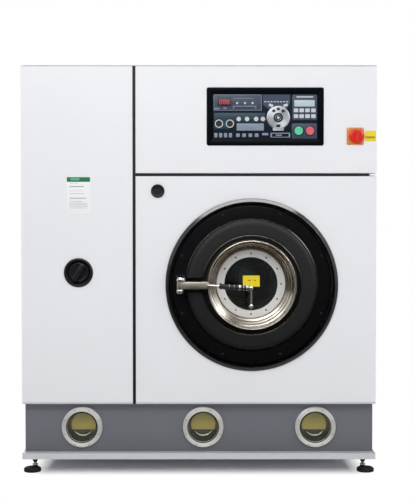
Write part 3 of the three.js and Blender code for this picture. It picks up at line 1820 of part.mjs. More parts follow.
// From the pump's outlet up, across and back into the side of the filter.
function filterPipe() {
  const x0 = pumpX + pumpRadius / 2;
  const y0 = pumpDepth + pumpThickness / 2;
  const low = pumpHeight + pumpRadius + 24 + touchGap;
  const high = deckTop + filterInletRise;
  const endDepth = filterDepth - filterRadius - filterInletReach - touchGap;
  const path = new THREE.CurvePath();
  const corner = (x, y, z) => new THREE.Vector3(x, y, z);
  path.add(new THREE.LineCurve3(corner(x0, y0, low), corner(x0, y0, high - pipeBend)));
  path.add(new THREE.QuadraticBezierCurve3(
    corner(x0, y0, high - pipeBend),
    corner(x0, y0, high),
    corner(x0 + pipeBend / 2, y0 + pipeBend / 2, high),
  ));
  path.add(new THREE.LineCurve3(
    corner(x0 + pipeBend / 2, y0 + pipeBend / 2, high),
    corner(filterX - pipeBend / 4, endDepth - pipeBend, high),
  ));
  path.add(new THREE.QuadraticBezierCurve3(
    corner(filterX - pipeBend / 4, endDepth - pipeBend, high),
    corner(filterX, endDepth - pipeBend / 2, high),
    corner(filterX, endDepth - 2, high),
  ));
  const round = new THREE.Shape();
  round.absarc(0, 0, pipeRadius, 0, 2 * Math.PI, false);
  const geometry = new THREE.ExtrudeGeometry(round, { steps: pipeSteps, extrudePath: path, curveSegments: 4 });
  const lower = post(pipeFlangeRadius, low, low + pipeFlangeThickness, x0, y0, smallSteps);
  const upper = disc(pipeFlangeRadius, endDepth - pipeFlangeThickness, endDepth, filterX, high, smallSteps);
  add('filter_pipe', joined(solid(geometry), lower, upper), steel());
}

// ---- The whole machine ----

dripTray();
feet();
solventTank();
tankFront();
sightGlass('left', sightLeftX);
sightGlass('middle', sightMiddleX);
sightGlass('right', sightRightX);
sidePanel('left_side_panel', -1);
sidePanel('right_side_panel', 1);
topPanel();
deckPanel();
rearPanel();
partitionPanel();
crossRail();
seams();
leftDoor();
latchCup();
latchHandle();
controlPanel();
displayHousing();
displayScreen();
pushButton('start_button', startKeyX, 0x3fbf75);
pushButton('stop_button', stopKeyX, 0xd0495a);
mainSwitch();
frontPanel();
trimRing();
panelLock();
frontRing();
coverRing();
portSeal();
doorDish();
windowRing();
hingeBracket();
hingePin();
doorArm();
doorGrip();
releaseLever();
tub();
tubCradle();
drum();
bearingHousing();
drumPulley();
motorPulley();
driveBelt();
driveMotor();
fanHousing();
fanImpeller();
still();
solventFilter();
solventPump();
filterPipe();

export default machine;
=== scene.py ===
import math

import bmesh
import bpy
import numpy as np
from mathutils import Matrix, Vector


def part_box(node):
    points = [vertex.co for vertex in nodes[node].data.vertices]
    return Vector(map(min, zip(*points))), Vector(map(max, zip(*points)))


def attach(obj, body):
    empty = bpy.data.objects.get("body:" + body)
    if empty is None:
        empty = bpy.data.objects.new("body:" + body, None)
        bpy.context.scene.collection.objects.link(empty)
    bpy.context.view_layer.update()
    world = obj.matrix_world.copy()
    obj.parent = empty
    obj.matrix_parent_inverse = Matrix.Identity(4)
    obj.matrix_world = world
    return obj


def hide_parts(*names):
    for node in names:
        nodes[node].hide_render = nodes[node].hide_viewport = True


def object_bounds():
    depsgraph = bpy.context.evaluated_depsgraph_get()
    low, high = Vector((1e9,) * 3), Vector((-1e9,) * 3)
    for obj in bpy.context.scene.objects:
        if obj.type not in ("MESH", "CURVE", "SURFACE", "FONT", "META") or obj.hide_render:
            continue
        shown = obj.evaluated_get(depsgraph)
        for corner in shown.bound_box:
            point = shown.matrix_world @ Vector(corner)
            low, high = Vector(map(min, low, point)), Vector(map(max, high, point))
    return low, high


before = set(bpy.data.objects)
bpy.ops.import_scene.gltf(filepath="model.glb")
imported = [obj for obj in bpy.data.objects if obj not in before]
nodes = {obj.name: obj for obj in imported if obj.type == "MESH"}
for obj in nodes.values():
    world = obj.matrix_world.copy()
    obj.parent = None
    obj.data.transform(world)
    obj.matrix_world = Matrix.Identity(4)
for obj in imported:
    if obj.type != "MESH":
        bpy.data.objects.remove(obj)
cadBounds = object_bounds()
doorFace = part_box("front_panel")[0].y  # depths are counted back from the faces of the front doors
print("frame loaded:", len(nodes), "nodes")

# Shapes are worked out in millimetres as x, depth and height.
# A shape is a pair: its points, and its faces as lists of point numbers.


def edges(node):
    # the lowest and highest corner of a node of the frame, as x, depth and height
    return tuple(np.array(corner) * 1000 - [0, doorFace * 1000, 0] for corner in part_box(node))


def middle(node, keep=(1, 1, 1)):
    # halfway between the two corners; a 0 in keep drops that coordinate
    return sum(edges(node)) / 2 * keep


def onDoors(node):
    return middle(node, (1, 0, 1))  # the middle, brought forward to the faces of the doors


def gridFaces(rows, columns, loopRows, loopColumns):
    # the face at (i, j) joins the points (i, j), (i, j+1), (i+1, j+1) and (i+1, j) of the grid
    i, j = np.meshgrid(
        np.arange(rows if loopRows else rows - 1),
        np.arange(columns if loopColumns else columns - 1),
        indexing="ij",
    )
    down, right = (i + 1) % rows, (j + 1) % columns
    corners = [i * columns + j, i * columns + right, down * columns + right, down * columns + j]
    return np.stack(corners, -1).reshape(-1, 4).tolist()


def lofted(rings, at=(0, 0, 0), loopRows=False, caps=True):
    # closed rings of points, each joined to the next; caps close the first and the last of them
    rows, columns = rings.shape[:2]
    faces = gridFaces(rows, columns, loopRows, True)
    if caps:
        faces += [list(range(columns)), list(range((rows - 1) * columns, rows * columns))]
    return rings.reshape(-1, 3) + np.asarray(at, float), faces


def softLoop(corners, reach, steps=4, closed=True):
    # each corner gives way to a quadratic curve that starts and ends up to reach before and after it
    corner = np.asarray(corners, float)
    before, after = np.roll(corner, 1, 0) - corner, np.roll(corner, -1, 0) - corner
    lengthBefore = np.linalg.norm(before, axis=1, keepdims=True)
    lengthAfter = np.linalg.norm(after, axis=1, keepdims=True)
    cut = np.broadcast_to(np.asarray(reach, float).reshape(-1, 1), lengthBefore.shape).copy()
    if not closed:
        cut[0] = cut[-1] = 0
    cut = np.minimum(cut, 0.45 * np.minimum(lengthBefore, lengthAfter))  # two curves never meet
    start = corner + before / np.maximum(lengthBefore, 1e-9) * cut
    end = corner + after / np.maximum(lengthAfter, 1e-9) * cut
    s = np.linspace(0, 1, steps + 1)[None, :, None]
    points = (1 - s) ** 2 * start[:, None] + 2 * s * (1 - s) * corner[:, None] + s ** 2 * end[:, None]
    points = points.reshape(-1, 2)
    keep = np.ones(len(points), bool)
    keep[1:] = np.linalg.norm(np.diff(points, axis=0), axis=1) > 1e-5
    return points[keep]


def circle(steps):
    # outward directions all round, evenly spaced
    turn = np.arange(steps) * 2 * np.pi / steps
    return np.stack([np.cos(turn), np.sin(turn)], -1)


def boxPath(width, rise, radius, steps=6, tilt=0.0):
    # four quarter circles, whose centres are the corners of a smaller rectangle
    quarter = np.radians(np.linspace(0, 90, steps + 1))
    turn = (quarter[None, :] + np.radians([0, 90, 180, 270])[:, None]).ravel()
    corner = np.array([[1, 1], [-1, 1], [-1, -1], [1, -1]]) * [width / 2 - radius, rise / 2 - radius]
    outward = np.stack([np.cos(turn), np.sin(turn)], -1)
    lean = np.radians(tilt)
    rotation = np.array([[np.cos(lean), np.sin(lean)], [-np.sin(lean), np.cos(lean)]])
    return (np.repeat(corner, steps + 1, 0) + outward * radius) @ rotation, outward @ rotation


def carry(path, profile, at=(0, 0, 0), facing="front", closed=True, caps=False):
    # a point is the path's point plus its outward direction times the profile's first value;
    # the profile's second value runs square to the path's plane
    base, outward = path
    profile = np.asarray(profile, float)
    flat = base[None] + outward[None] * profile[:, 0][:, None, None]
    travel = np.broadcast_to(profile[:, 1][:, None], flat.shape[:2])
    a, b = flat[..., 0], flat[..., 1]
    order = {"front": (a, travel, b), "up": (a, b, travel), "side": (travel, a, b)}[facing]
    return lofted(np.stack(order, -1), at, closed, caps)


def turned(profile, at, facing="front", steps=96, closed=True):
    # a profile of radius and travel, turned about an axis through the point at
    return carry((np.zeros((steps, 2)), circle(steps)), profile, at, facing, closed)


def lathed(corners, reach, at, solid=False, facing="front", steps=96, bends=4):
    # the same with softened corners; the profile of a solid piece starts and ends on the axis
    return turned(softLoop(corners, reach, bends, not solid), at, facing, steps, not solid)


def slab(width, rise, radius, front, back, edge, at, facing="front", tilt=0.0, steps=6):
    # a plate with rounded corners, whose outline shrinks towards both faces along a quarter circle
    s = np.radians(np.linspace(0, 90, 4))
    profile = np.concatenate([
        np.stack([-edge + edge * np.sin(s), front + edge - edge * np.cos(s)], -1),
        np.stack([-edge + edge * np.cos(s), back - edge + edge * np.sin(s)], -1),
    ])
    path = boxPath(width, rise, max(radius, edge + 0.01), steps, tilt)
    return carry(path, profile, at, facing, False, True)


def boxSlab(box, radius, front, back, edge):
    # a plate given by its left, right, lower and upper edge
    left, right, low, high = box
    at = ((left + right) / 2, 0, (low + high) / 2)
    return slab(right - left, high - low, radius, front, back, edge, at)


def tube(centres, radius, steps=16, reference=(0, 1, 0)):
    # a circle carried along a line, on two directions square to the line's heading
    centres = np.asarray(centres, float)
    heading = np.gradient(centres, axis=0)
    heading /= np.linalg.norm(heading, axis=1, keepdims=True)
    sideways = np.cross(heading, np.asarray(reference, float))
    sideways /= np.linalg.norm(sideways, axis=1, keepdims=True)
    upward = np.cross(sideways, heading)
    c, s = circle(steps).T[:, None, :, None]
    radius = np.broadcast_to(np.asarray(radius, float), (len(centres),))[:, None, None]
    return lofted(centres[:, None] + (sideways[:, None] * c + upward[:, None] * s) * radius)


def curveLine(corners, reach, steps):
    # straight runs whose corners give way to quadratic curves
    corner = np.asarray(corners, float)
    parts = [corner[:1]]
    for k in range(1, len(corner) - 1):
        back, on = corner[k - 1] - corner[k], corner[k + 1] - corner[k]
        start = corner[k] + back / np.linalg.norm(back) * reach
        end = corner[k] + on / np.linalg.norm(on) * reach
        s = np.linspace(0, 1, steps)[:, None]
        parts.append((1 - s) ** 2 * start + 2 * s * (1 - s) * corner[k] + s ** 2 * end)
    return np.concatenate(parts + [corner[-1:]])


def joined(*shapes):
    # several shapes as one
    points, faces, count = [], [], 0
    for shapePoints, shapeFaces in shapes:
        points.append(shapePoints)
        faces += [[k + count for k in face] for face in shapeFaces]
        count += len(shapePoints)
    return np.concatenate(points), faces


def repeated(shape, offsets):
    # the same shape, moved to each offset
    return joined(*[(shape[0] + offset, shape[1]) for offset in np.asarray(offsets, float)])


def moved(shape, offset, signs=(1, 1, 1)):
    # mirrored where a sign is negative, then moved
    return shape[0] * signs + offset, shape[1]


def leaned(shape, degrees, about=(0, 0, 0)):
    # turned about a line that runs from front to back
    c, s = math.cos(math.radians(degrees)), math.sin(math.radians(degrees))
    return (shape[0] - about) @ np.array([[c, 0, s], [0, 1, 0], [-s, 0, c]]) + about, shape[1]


def onCircle(count, radius, start=0.0):
    # places evenly spaced round a circle that faces the front
    turn = np.radians(start + np.arange(count) * 360 / count)
    return np.stack([radius * np.cos(turn), np.zeros(count), radius * np.sin(turn)], -1)


def screwHead(radius, rise, facing="front", steps=20):
    # a domed head with a round socket; a front one stands towards the viewer, at a lower depth
    profile = [(0, -0.45), (0.34, -0.45), (0.4, -1), (0.72, -0.86), (0.94, -0.5), (1, 0)]
    profile = [(r * radius, h * rise) for r, h in profile] + [(0, 0.2)]
    return turned(profile, (0, 0, 0), facing, steps, False)


def screwRing(head, count, radius, at, start=0.0):
    # the same head at such places, round the point at
    return repeated(head, onCircle(count, radius, start) + at)


def show(name, mesh, material):
    # a mesh put into the scene at the origin
    mesh.materials.append(material)
    piece = bpy.data.objects.new(name, mesh)
    bpy.context.scene.collection.objects.link(piece)
    return piece


def make(name, shape, surface, body="root", stands=None, sharp=32):
    # merges points closer than 2 micrometres, faces outwards, and keeps edges above the sharp angle;
    # the piece rides on the body, and stands for a node of the frame where one is named
    mesh = bpy.data.meshes.new(name)
    mesh.from_pydata((shape[0] * 0.001 + [0, doorFace, 0]).tolist(), [], shape[1])
    work = bmesh.new()
    work.from_mesh(mesh)
    bmesh.ops.remove_doubles(work, verts=work.verts, dist=2e-6)
    bmesh.ops.dissolve_degenerate(work, dist=1e-6, edges=work.edges)
    bmesh.ops.recalc_face_normals(work, faces=work.faces)
    work.to_mesh(mesh)
    work.free()
    mesh.shade_smooth()
    mesh.set_sharp_from_angle(angle=math.radians(sharp))
    piece = show(name, mesh, finish[surface])
    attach(piece, body)
    if stands:
        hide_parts(stands)
    return piece


# Finishes. Colours are given as seen on screen, 0 to 255.

finish = {}


def srgb(red, green, blue):
    # turned into the linear values that a shader takes
    value = np.array([red, green, blue]) / 255
    linear = np.where(value <= 0.04045, value / 12.92, ((value + 0.055) / 1.055) ** 2.4)
    return (*linear.tolist(), 1.0)


def darker(tone, share):
    return tuple(c * share for c in tone[:3]) + (1.0,)


class Nodes:
    # a node tree, and short ways to add to it
    def __init__(self, tree):
        self.tree = tree

    def node(self, kind, **values):
        made = self.tree.nodes.new(kind)
        for key, value in values.items():
            setattr(made, key, value)
        return made

    def put(self, value, socket):
        if isinstance(value, (int, float, tuple, list)):
            socket.default_value = value
        else:
            self.tree.links.new(value, socket)

    def fill(self, made, **values):
        for key, value in values.items():
            self.put(value, made.inputs[key.replace("_", " ")])
        return made.outputs

    def math(self, operation, *values):
        made = self.node("ShaderNodeMath", operation=operation)
        for k, value in enumerate(values):
            self.put(value, made.inputs[k])
        return made.outputs[0]

    def length(self, a, b):
        # the root of the sum of two squares
        return self.math("SQRT", self.math("ADD", *[self.math("MULTIPLY", v, v) for v in (a, b)]))

    def ranged(self, source, low, high, start=0.0, end=1.0):
        values = {"From Min": start, "From Max": end, "To Min": low, "To Max": high, "Value": source}
        return self.fill(self.node("ShaderNodeMapRange"), **values)["Result"]


class Finish(Nodes):
    # a material whose patterns read Object coordinates
    def __init__(self, name):
        self.material = finish[name] = bpy.data.materials.new(name)
        self.material.use_nodes = True
        super().__init__(self.material.node_tree)
        self.shader = self.tree.nodes["Principled BSDF"]
        self.place = self.node("ShaderNodeTexCoord").outputs["Object"]

    def placed(self, at=(0, 0, 0), scale=(1, 1, 1)):
        start = [-a * s for a, s in zip(at, scale)]
        values = {"Location": start, "Scale": scale, "Vector": self.place}
        return self.fill(self.node("ShaderNodeMapping"), **values)["Vector"]

    def noise(self, scale, detail=2.0, rough=0.5, source=None):
        values = {"Scale": scale, "Detail": detail, "Roughness": rough, "Vector": source or self.place}
        return self.fill(self.node("ShaderNodeTexNoise"), **values)["Fac"]

    def mixed(self, share, first, second):
        mix = self.node("ShaderNodeMix", data_type="RGBA")
        for k, value in ((0, share), (6, first), (7, second)):
            self.put(value, mix.inputs[k])
        return mix.outputs[2]

    def bump(self, height, distance):
        values = {"Distance": distance, "Strength": 1.0, "Height": height}
        return self.fill(self.node("ShaderNodeBump"), **values)["Normal"]

    def split(self, source=None):
        return self.fill(self.node("ShaderNodeSeparateXYZ"), Vector=source or self.place)

    def set(self, **values):
        self.fill(self.shader, **values)


def paint(name, color, rough=0.4, peel=0.00004, worn=0.03, grime=None, shine=0.5):
    # sprayed paint: fine orange peel, and faint clouds of gloss and shade
    made, tone = Finish(name), srgb(*color)
    shade = made.mixed(made.noise(2.3, 4.0), tone, darker(tone, 1 - worn * 1.6))
    if grime:  # a little dust, fullest at the lower height and gone at the upper one
        low, high, dust = grime
        near = made.ranged(made.split()["Z"], 0.5, 0.0, low, high)
        share = made.math("MULTIPLY", near, made.ranged(made.noise(5.0, 3.0), 0.45, 1.0, 0.2, 0.8))
        shade = made.mixed(share, shade, srgb(*dust))
    grain = made.math("ADD", made.noise(900.0, 1.0), made.noise(160.0, 2.0))
    made.set(Base_Color=shade, Roughness=made.ranged(made.noise(9.0, 3.0), rough - 0.04, rough + 0.05))
    made.set(Normal=made.bump(grain, peel), Specular_IOR_Level=shine)


def metal(name, color, rough, depth=0.00001, grain="cast", centre=None, scale=1.0, bare=1.0):
    # metal with fine lines on a slightly uneven colour: rings round a centre, or lines along a grain
    made, tone = Finish(name), srgb(*color)
    if centre is None:
        stretch = {"across": (0.02, 1, 1), "up": (1, 1, 0.02), "cast": (1, 1, 1)}[grain]
        source = made.placed(scale=stretch)
        fine, broad, detail = 420.0 if grain == "cast" else 1800.0, 60.0, 3.0
    else:
        x, y, z = made.split(made.placed(centre))
        line = made.math("ADD", made.length(x, z), made.math("MULTIPLY", y, 0.7))
        source = made.fill(made.node("ShaderNodeCombineXYZ"), X=line)[0]
        fine, broad, detail = 2600.0, 240.0, 2.0
    lines = made.noise(fine * scale, 3.0, 0.7, source)
    bands = made.noise(broad * scale, detail, 0.5, source)
    shade = made.mixed(made.ranged(lines, 0.0, 1.0, 0.3, 0.7), tone, darker(tone, 0.86))
    uneven = made.ranged(made.noise(18.0, 3.0), -0.02, 0.04)
    roughness = made.math("ADD", made.ranged(bands, rough * 0.8, rough * 1.2, 0.3, 0.7), uneven)
    made.set(Base_Color=shade, Metallic=bare, Roughness=roughness, Normal=made.bump(lines, depth))
    if centre is not None:  # gloss spreads across the turned lines
        around = made.node("ShaderNodeTangent", direction_type="RADIAL", axis="Y")
        made.set(Anisotropic=0.8, Anisotropic_Rotation=0.25, Tangent=around.outputs[0])


def moulded(name, color, rough=0.45, grain=0.00003, scale=700.0, spread=0.06, glow=None, shine=0.3):
    # moulded plastic, rubber or print: an even fine grain with faint mottling
    made, tone = Finish(name), srgb(*color)
    shade = made.mixed(made.noise(22.0, 4.0), tone, darker(tone, 1 - spread * 3))
    gloss = made.ranged(made.noise(35.0, 3.0), rough - spread, rough + spread)
    made.set(Base_Color=shade, Roughness=gloss)
    made.set(Normal=made.bump(made.noise(scale, 2.0), grain), Specular_IOR_Level=shine)
    if glow:
        made.set(Emission_Color=tone, Emission_Strength=glow)


def clearGlass(name, color, rough, smear):
    # clear glass with faint uneven smears
    made = Finish(name)
    smears = made.ranged(made.noise(30.0, 4.0), rough, rough + smear, 0.4, 0.9)
    made.set(Base_Color=srgb(*color), Roughness=smears, Transmission_Weight=1.0, IOR=1.5)


def centreOf(point):
    # a point in millimetres as a place in the frame, for a material's centre
    x, depth, z = (float(value) / 1000 for value in point)
    return x, doorFace + depth, z


port = onDoors("trim_ring")
portCentre = centreOf(port)

paint("whitePaint", (238, 239, 243), 0.36, grime=(0.33, 0.75, (230, 231, 234)))
paint("whitePaintInside", (226, 227, 231), 0.45)
paint("tankPaint", (114, 117, 124), 0.42, worn=0.06, grime=(0.06, 0.2, (84, 87, 92)))
paint("trayPaint", (208, 210, 214), 0.4, worn=0.05)
paint("blackGloss", (10, 11, 14), 0.28, 0.00002, shine=0.2)
paint("trimBlack", (12, 13, 16), 0.2, 0.00002, shine=0.6)
paint("deepBlackPaint", (10, 11, 13), 0.34, 0.00002)
paint("coverPaint", (25, 26, 28), 0.5, 0.00006, shine=0.3)
paint("displayBlack", (7, 11, 16), 0.24, 0.00002, shine=0.05)
paint("castGreyPaint", (96, 100, 106), 0.55, 0.00025)
paint("motorPaint", (70, 84, 98), 0.5, 0.0002)
paint("neckPaint", (14, 14, 15), 0.25, 0.00002)
# painted shade: near black, standing in for the shade inside the sight tubes' bores
paint("sightTubePaintedShade", (24, 27, 23), 0.4, 0.0001, shine=0.12)
moulded("footRubber", (15, 15, 16), 0.7)
moulded("sealRubber", (24, 24, 26), 0.62)
moulded("gripRubber", (38, 38, 40), 0.42)
moulded("beltRubber", (28, 28, 29), 0.7, 0.00008, 300.0)
moulded("blackPlastic", (30, 31, 34), 0.34)
moulded("startKeyPlastic", (100, 213, 163), 0.34)
moulded("stopKeyPlastic", (224, 100, 115), 0.34)
moulded("switchYellow", (226, 136, 52), 0.36)
moulded("switchRed", (226, 42, 28), 0.2, spread=0.03, shine=0.5)
moulded("switchDarkRed", (150, 24, 20), 0.4)
moulded("solvent", (50, 58, 52), 0.12, 0.00001, 90.0, 0.05)
metal("spunSteel", (208, 202, 192), 0.25, 0.000006, centre=portCentre)
metal("machinedSteel", (251, 251, 249), 0.4, centre=portCentre, bare=0.2)
metal("tubSteel", (188, 188, 186), 0.34, centre=portCentre)
metal("drumSteel", (206, 206, 203), 0.26, 0.000008, centre=portCentre)
metal("sheetSteel", (196, 197, 198), 0.3, grain="up")
metal("armSteel", (196, 190, 178), 0.34, grain="across")
metal("rodSteel", (226, 222, 212), 0.2, 0.000004, "up")
metal("chrome", (226, 226, 226), 0.1, 0.000002)
metal("hingeSteel", (238, 238, 236), 0.28)
metal("beadSteel", (84, 85, 84), 0.26)
metal("lipSteel", (138, 137, 132), 0.2)
metal("darkSteel", (92, 90, 86), 0.35)
metal("zincPlate", (200, 201, 203), 0.32)
metal("coverPlate", (206, 206, 203), 0.28)
clearGlass("windowGlass", (120, 128, 126), 0.02, 0.05)
clearGlass("sightGlass", (236, 238, 224), 0.01, 0.03)

# Print: colour, roughness, how mottled it is, and its glow
prints = {
    "labelFilm": ((241, 243, 245), 0.3, 0.01),
    "labelGreen": ((30, 122, 78), 0.35),
    "labelPaleGreen": ((96, 180, 138), 0.35),
    "labelGrey": ((158, 162, 170), 0.4),
    "labelYellow": ((240, 214, 52), 0.35, 0.03),
    "labelOlive": ((176, 156, 20), 0.35),
    "stickerYellow": ((252, 228, 48), 0.3, 0.02),
    "stickerPrint": ((184, 148, 36), 0.4),
    "screenPanel": ((60, 72, 92), 0.34),
    "screenTeal": ((12, 62, 80), 0.34),
    "screenSilver": ((136, 146, 164), 0.34),
    "screenPale": ((206, 210, 216), 0.34),
    "screenCell": ((178, 194, 199), 0.2, 0.06, 0.15),
    "screenRed": ((212, 70, 82), 0.3, 0.06, 0.35),
}
for name, (color, rough, *more) in prints.items():
    moulded(name, color, rough, 0.00001, 700.0, *more)


def screenFilm():
    # the dark film of the screen, with a faint wash of blue
    made = Finish("screenFilm")
    wash = made.ranged(made.noise(3.5, 2.0), 0.0, 1.0, 0.35, 0.65)
    made.set(Base_Color=made.mixed(wash, srgb(14, 25, 40), srgb(9, 19, 34)), Roughness=0.26)
    made.set(Normal=made.bump(made.noise(500.0, 1.0), 0.000006), Specular_IOR_Level=0.2)


def sightPaintedGlow():
    # painted light: a glow of olive and straw that stands in for light coming through the solvent, paler
    # below a cloudy level line
    made = Finish("sightPaintedGlow")
    level = float(middle("sight_flange_left")[2]) / 1000
    cloud = made.math("ADD", made.split()["Z"], made.math("MULTIPLY", made.noise(30.0, 3.0), 0.03))
    share = made.ranged(cloud, 0.0, 1.0, level + 0.012, level + 0.062)
    shade = made.mixed(share, srgb(158, 140, 78), srgb(112, 106, 58))
    # painted light: the disc glows in its own colours at half strength, though it is no lamp
    made.set(Base_Color=shade, Roughness=0.5, Emission_Color=shade, Emission_Strength=0.5)
    made.set(Normal=made.bump(made.noise(60.0, 3.0), 0.0004))


screenFilm()
sightPaintedGlow()
print("finishes made:", len(finish))

# Camera, light and floor

camera = {"place": (0.0234, -5.5, 1.1763), "down": 0.0267, "turn": 0.0024, "lens": 77.13}
lensData = bpy.data.cameras.new("frontCamera")
lensData.lens = camera["lens"]
frontCamera = bpy.data.objects.new("frontCamera", lensData)
frontCamera.location = camera["place"]
frontCamera.rotation_euler = (math.pi / 2 - camera["down"], 0, -camera["turn"])
bpy.context.scene.collection.objects.link(frontCamera)
bpy.context.scene.camera = frontCamera
bpy.context.scene.view_settings.view_transform = "Standard"

ambient = 0.5
lamps = {
    "key": {"place": (-0.6, -4.4, 3.4), "aim": (0.0, -0.4, 1.3), "size": (3.4, 1.8), "power": 85},
    "fill": {"place": (3.0, -2.9, 1.5), "aim": (0.0, 0.0, 0.9), "size": (1.6, 2.4), "power": 14},
    "back": {"place": (-1.6, 4.2, 2.2), "aim": (0.0, 0.4, 1.0), "size": (2.4, 1.6), "power": 45},
    "strip": {"place": (0.1, -0.95, 3.8), "aim": (0.1, -0.8, 0.9), "size": (4.2, 0.9), "power": 115},
    "spark": {"place": (3.0, -1.9, 3.0), "aim": (0.25, -0.5, 0.9), "size": (0.8, 1.2), "power": 40},
}
glossOnly = ("strip", "spark")


def areaLight(name, place, aim, size, power):
    # a rectangular lamp, turned to face its aim
    data = bpy.data.lights.new(name, "AREA")
    data.shape = "RECTANGLE"
    data.size, data.size_y = size
    data.energy = power
    lamp = bpy.data.objects.new(name, data)
    heading = np.subtract(aim, place)
    turn = math.atan2(-heading[0], heading[1])
    lean = math.atan2(math.hypot(heading[0], heading[1]), -heading[2])
    lamp.location = place
    lamp.rotation_euler = (lean, 0, turn)
    bpy.context.scene.collection.objects.link(lamp)
    return lamp


for name, values in lamps.items():
    areaLight(name + "Light", **values).visible_diffuse = name not in glossOnly

world = bpy.data.worlds.new("studio")
bpy.context.scene.world = world
world.use_nodes = True
air = Nodes(world.node_tree)
rays = air.node("ShaderNodeLightPath").outputs
seen = air.math("MAXIMUM", rays["Is Camera Ray"], rays["Is Glossy Ray"])
seen = air.math("MAXIMUM", seen, rays["Is Transmission Ray"])
air.fill(air.tree.nodes["Background"], Color=(1, 1, 1, 1), Strength=air.ranged(seen, ambient, 1.0))


def flatSheet(name, low, high, material):
    # a rectangle between two opposite corners, which isn't part of the machine
    k = next(k for k in range(3) if low[k] != high[k])
    second, fourth = list(low), list(high)
    second[k], fourth[k] = high[k], low[k]
    mesh = bpy.data.meshes.new(name)
    mesh.from_pydata([low, second, high, fourth], [], [(0, 1, 2, 3)])
    sheet = show(name, mesh, material)
    return sheet


def studioFloor():
    # pale and matt near the machine, where its shadow falls; further out it fades to white
    size = {"half": 12.0, "inset": 0.12, "fade": 0.09, "lift": 0.03, "color": (248, 248, 250)}
    made = Finish("floorPaint")
    out = []
    for value, reach in zip(made.split()[:2], cadBounds[1]):
        beyond = made.math("SUBTRACT", made.math("ABSOLUTE", value), reach - size["inset"])
        out.append(made.math("MAXIMUM", beyond, 0.0))
    far = made.ranged(made.length(*out), size["lift"], 1.0, 0.0, size["fade"])
    made.set(Base_Color=srgb(*size["color"]), Roughness=0.8)
    glow = made.fill(made.node("ShaderNodeEmission"), Strength=1.0)[0]
    rays = made.node("ShaderNodeLightPath").outputs
    seen = made.math("MAXIMUM", rays["Is Camera Ray"], rays["Is Transmission Ray"])
    mix = made.node("ShaderNodeMixShader")
    for k, value in enumerate((made.math("MULTIPLY", far, seen), made.shader.outputs[0], glow)):
        made.put(value, mix.inputs[k])
    made.fill(made.tree.nodes["Material Output"], Surface=mix.outputs[0])
    half = size["half"]
    flatSheet("studioFloor", (-half, -half, 0), (half, half, 0), made.material)


# Cards that only reflections see: two opposite corners in metres, and the colour
cards = {
    "nearCard": ((-3.0, -1.7, 0.02), (3.0, -0.66, 0.02), (12, 10, 8)),
    "lowCard": ((-3.0, -6.4, 0.02), (3.0, -1.7, 0.02), (82, 58, 42)),
    "topCard": ((-2.1, -5.4, 3.9), (2.6, -0.3, 3.9), (104, 97, 88)),
    "sideCardLeft": ((-3.0, -6.4, 0.02), (-3.0, -0.9, 1.5), (22, 19, 16)),
    "sideCardRight": ((3.0, -6.4, 0.02), (3.0, -0.9, 1.5), (22, 19, 16)),
    "backCard": ((-3.0, -6.4, 0.0), (3.0, -6.4, 3.3), (104, 104, 106)),
    "farCard": ((-9.0, 5.5, 0.02), (9.0, 5.5, 5.0), (138, 138, 142)),
}
studioFloor()
for name, (low, high, color) in cards.items():
    made = Finish(name)
    made.set(Base_Color=srgb(*color), Roughness=0.9, Specular_IOR_Level=0.0)
    card = flatSheet(name, low, high, made.material)
    card.visible_camera = card.visible_diffuse = card.visible_shadow = card.visible_transmission = False
print("camera, lights and floor set")

# The frame's own solids that stay, and what each wears
carried = {
    "whitePaint": [
        "left_side_panel", "right_side_panel", "top_panel", "rear_panel", "left_door", "control_panel",
        "front_panel",
    ],
    "whitePaintInside": ["deck_panel", "partition_panel", "cross_rail"],
    "tankPaint": ["solvent_tank", "tank_front"],
    "trayPaint": ["drip_tray"],
    "castGreyPaint": ["tub_cradle", "bearing_housing", "drum_pulley", "motor_pulley"],
    "sheetSteel": ["fan_housing", "fan_impeller"],
    "beltRubber": ["drive_belt"],
    "motorPaint": ["drive_motor"],
    "screenFilm": ["display_screen"],
}
for surface, names in carried.items():
    for name in names:
        nodes[name].material_slots[0].material = finish[surface]


def bodyScrews():
    # pan heads along the edges of the side and rear sheets, at insets from the rear sheet's box
    size = {
        "radius": 6.5, "rise": 2.6, "rows": 6, "columns": 5, "front": 66, "back": 35, "end": 40,
        "rearSide": 15, "rearEnd": 12, "ledge": 9,
    }
    low, high = edges("rear_panel")
    heights = np.linspace(low[2] + size["end"], high[2] - size["end"], size["rows"])
    rows = [(0, depth, z) for depth in (size["front"], high[1] - size["back"]) for z in heights]
    side = repeated(screwHead(size["radius"], size["rise"], "side"), rows)
    make("sideScrewsLeft", moved(side, [low[0], 0, 0]), "zincPlate")
    make("sideScrewsRight", moved(side, [high[0], 0, 0], (-1, 1, 1)), "zincPlate")
    columns = np.linspace(low[0] + size["rearSide"], high[0] - size["rearSide"], size["columns"])
    rim = [(x, z) for x in columns for z in (low[2] + size["rearEnd"], high[2] - size["rearEnd"])]
    rim += [(x, z) for x in (columns[0], columns[-1]) for z in heights[1:-1]]
    rearHead = moved(screwHead(size["radius"], size["rise"]), [0, high[1] - size["ledge"], 0], (1, -1, 1))
    make("rearScrews", repeated(rearHead, [(x, 0, z) for x, z in rim]), "zincPlate")


def seamRubber():
    # soft rubber fills the two seams between the doors, and a tail of it laps over the deck's front edge
    size = {
        "width": 13.4, "front": 1.5, "back": 51, "corner": 1.5, "edge": 0.8, "tail": 6, "tailFront": -0.9,
    }
    for name, node in (("seamUpright", "vertical_seal"), ("seamLevel", "horizontal_seal")):
        low, high = edges(node)
        width, rise = np.maximum((high - low)[[0, 2]], size["width"])
        shape = slab(width, rise, size["corner"], size["front"], size["back"], size["edge"], onDoors(node))
        make(name, shape, "sealRubber", stands=node)
    at = (middle("vertical_seal")[0], 0, edges("deck_panel")[0][2] + 0.2 + size["tail"] / 2)
    tail = slab(size["width"], size["tail"], 0.5, size["tailFront"], -0.02, 0.3, at)
    make("seamTail", tail, "sealRubber")


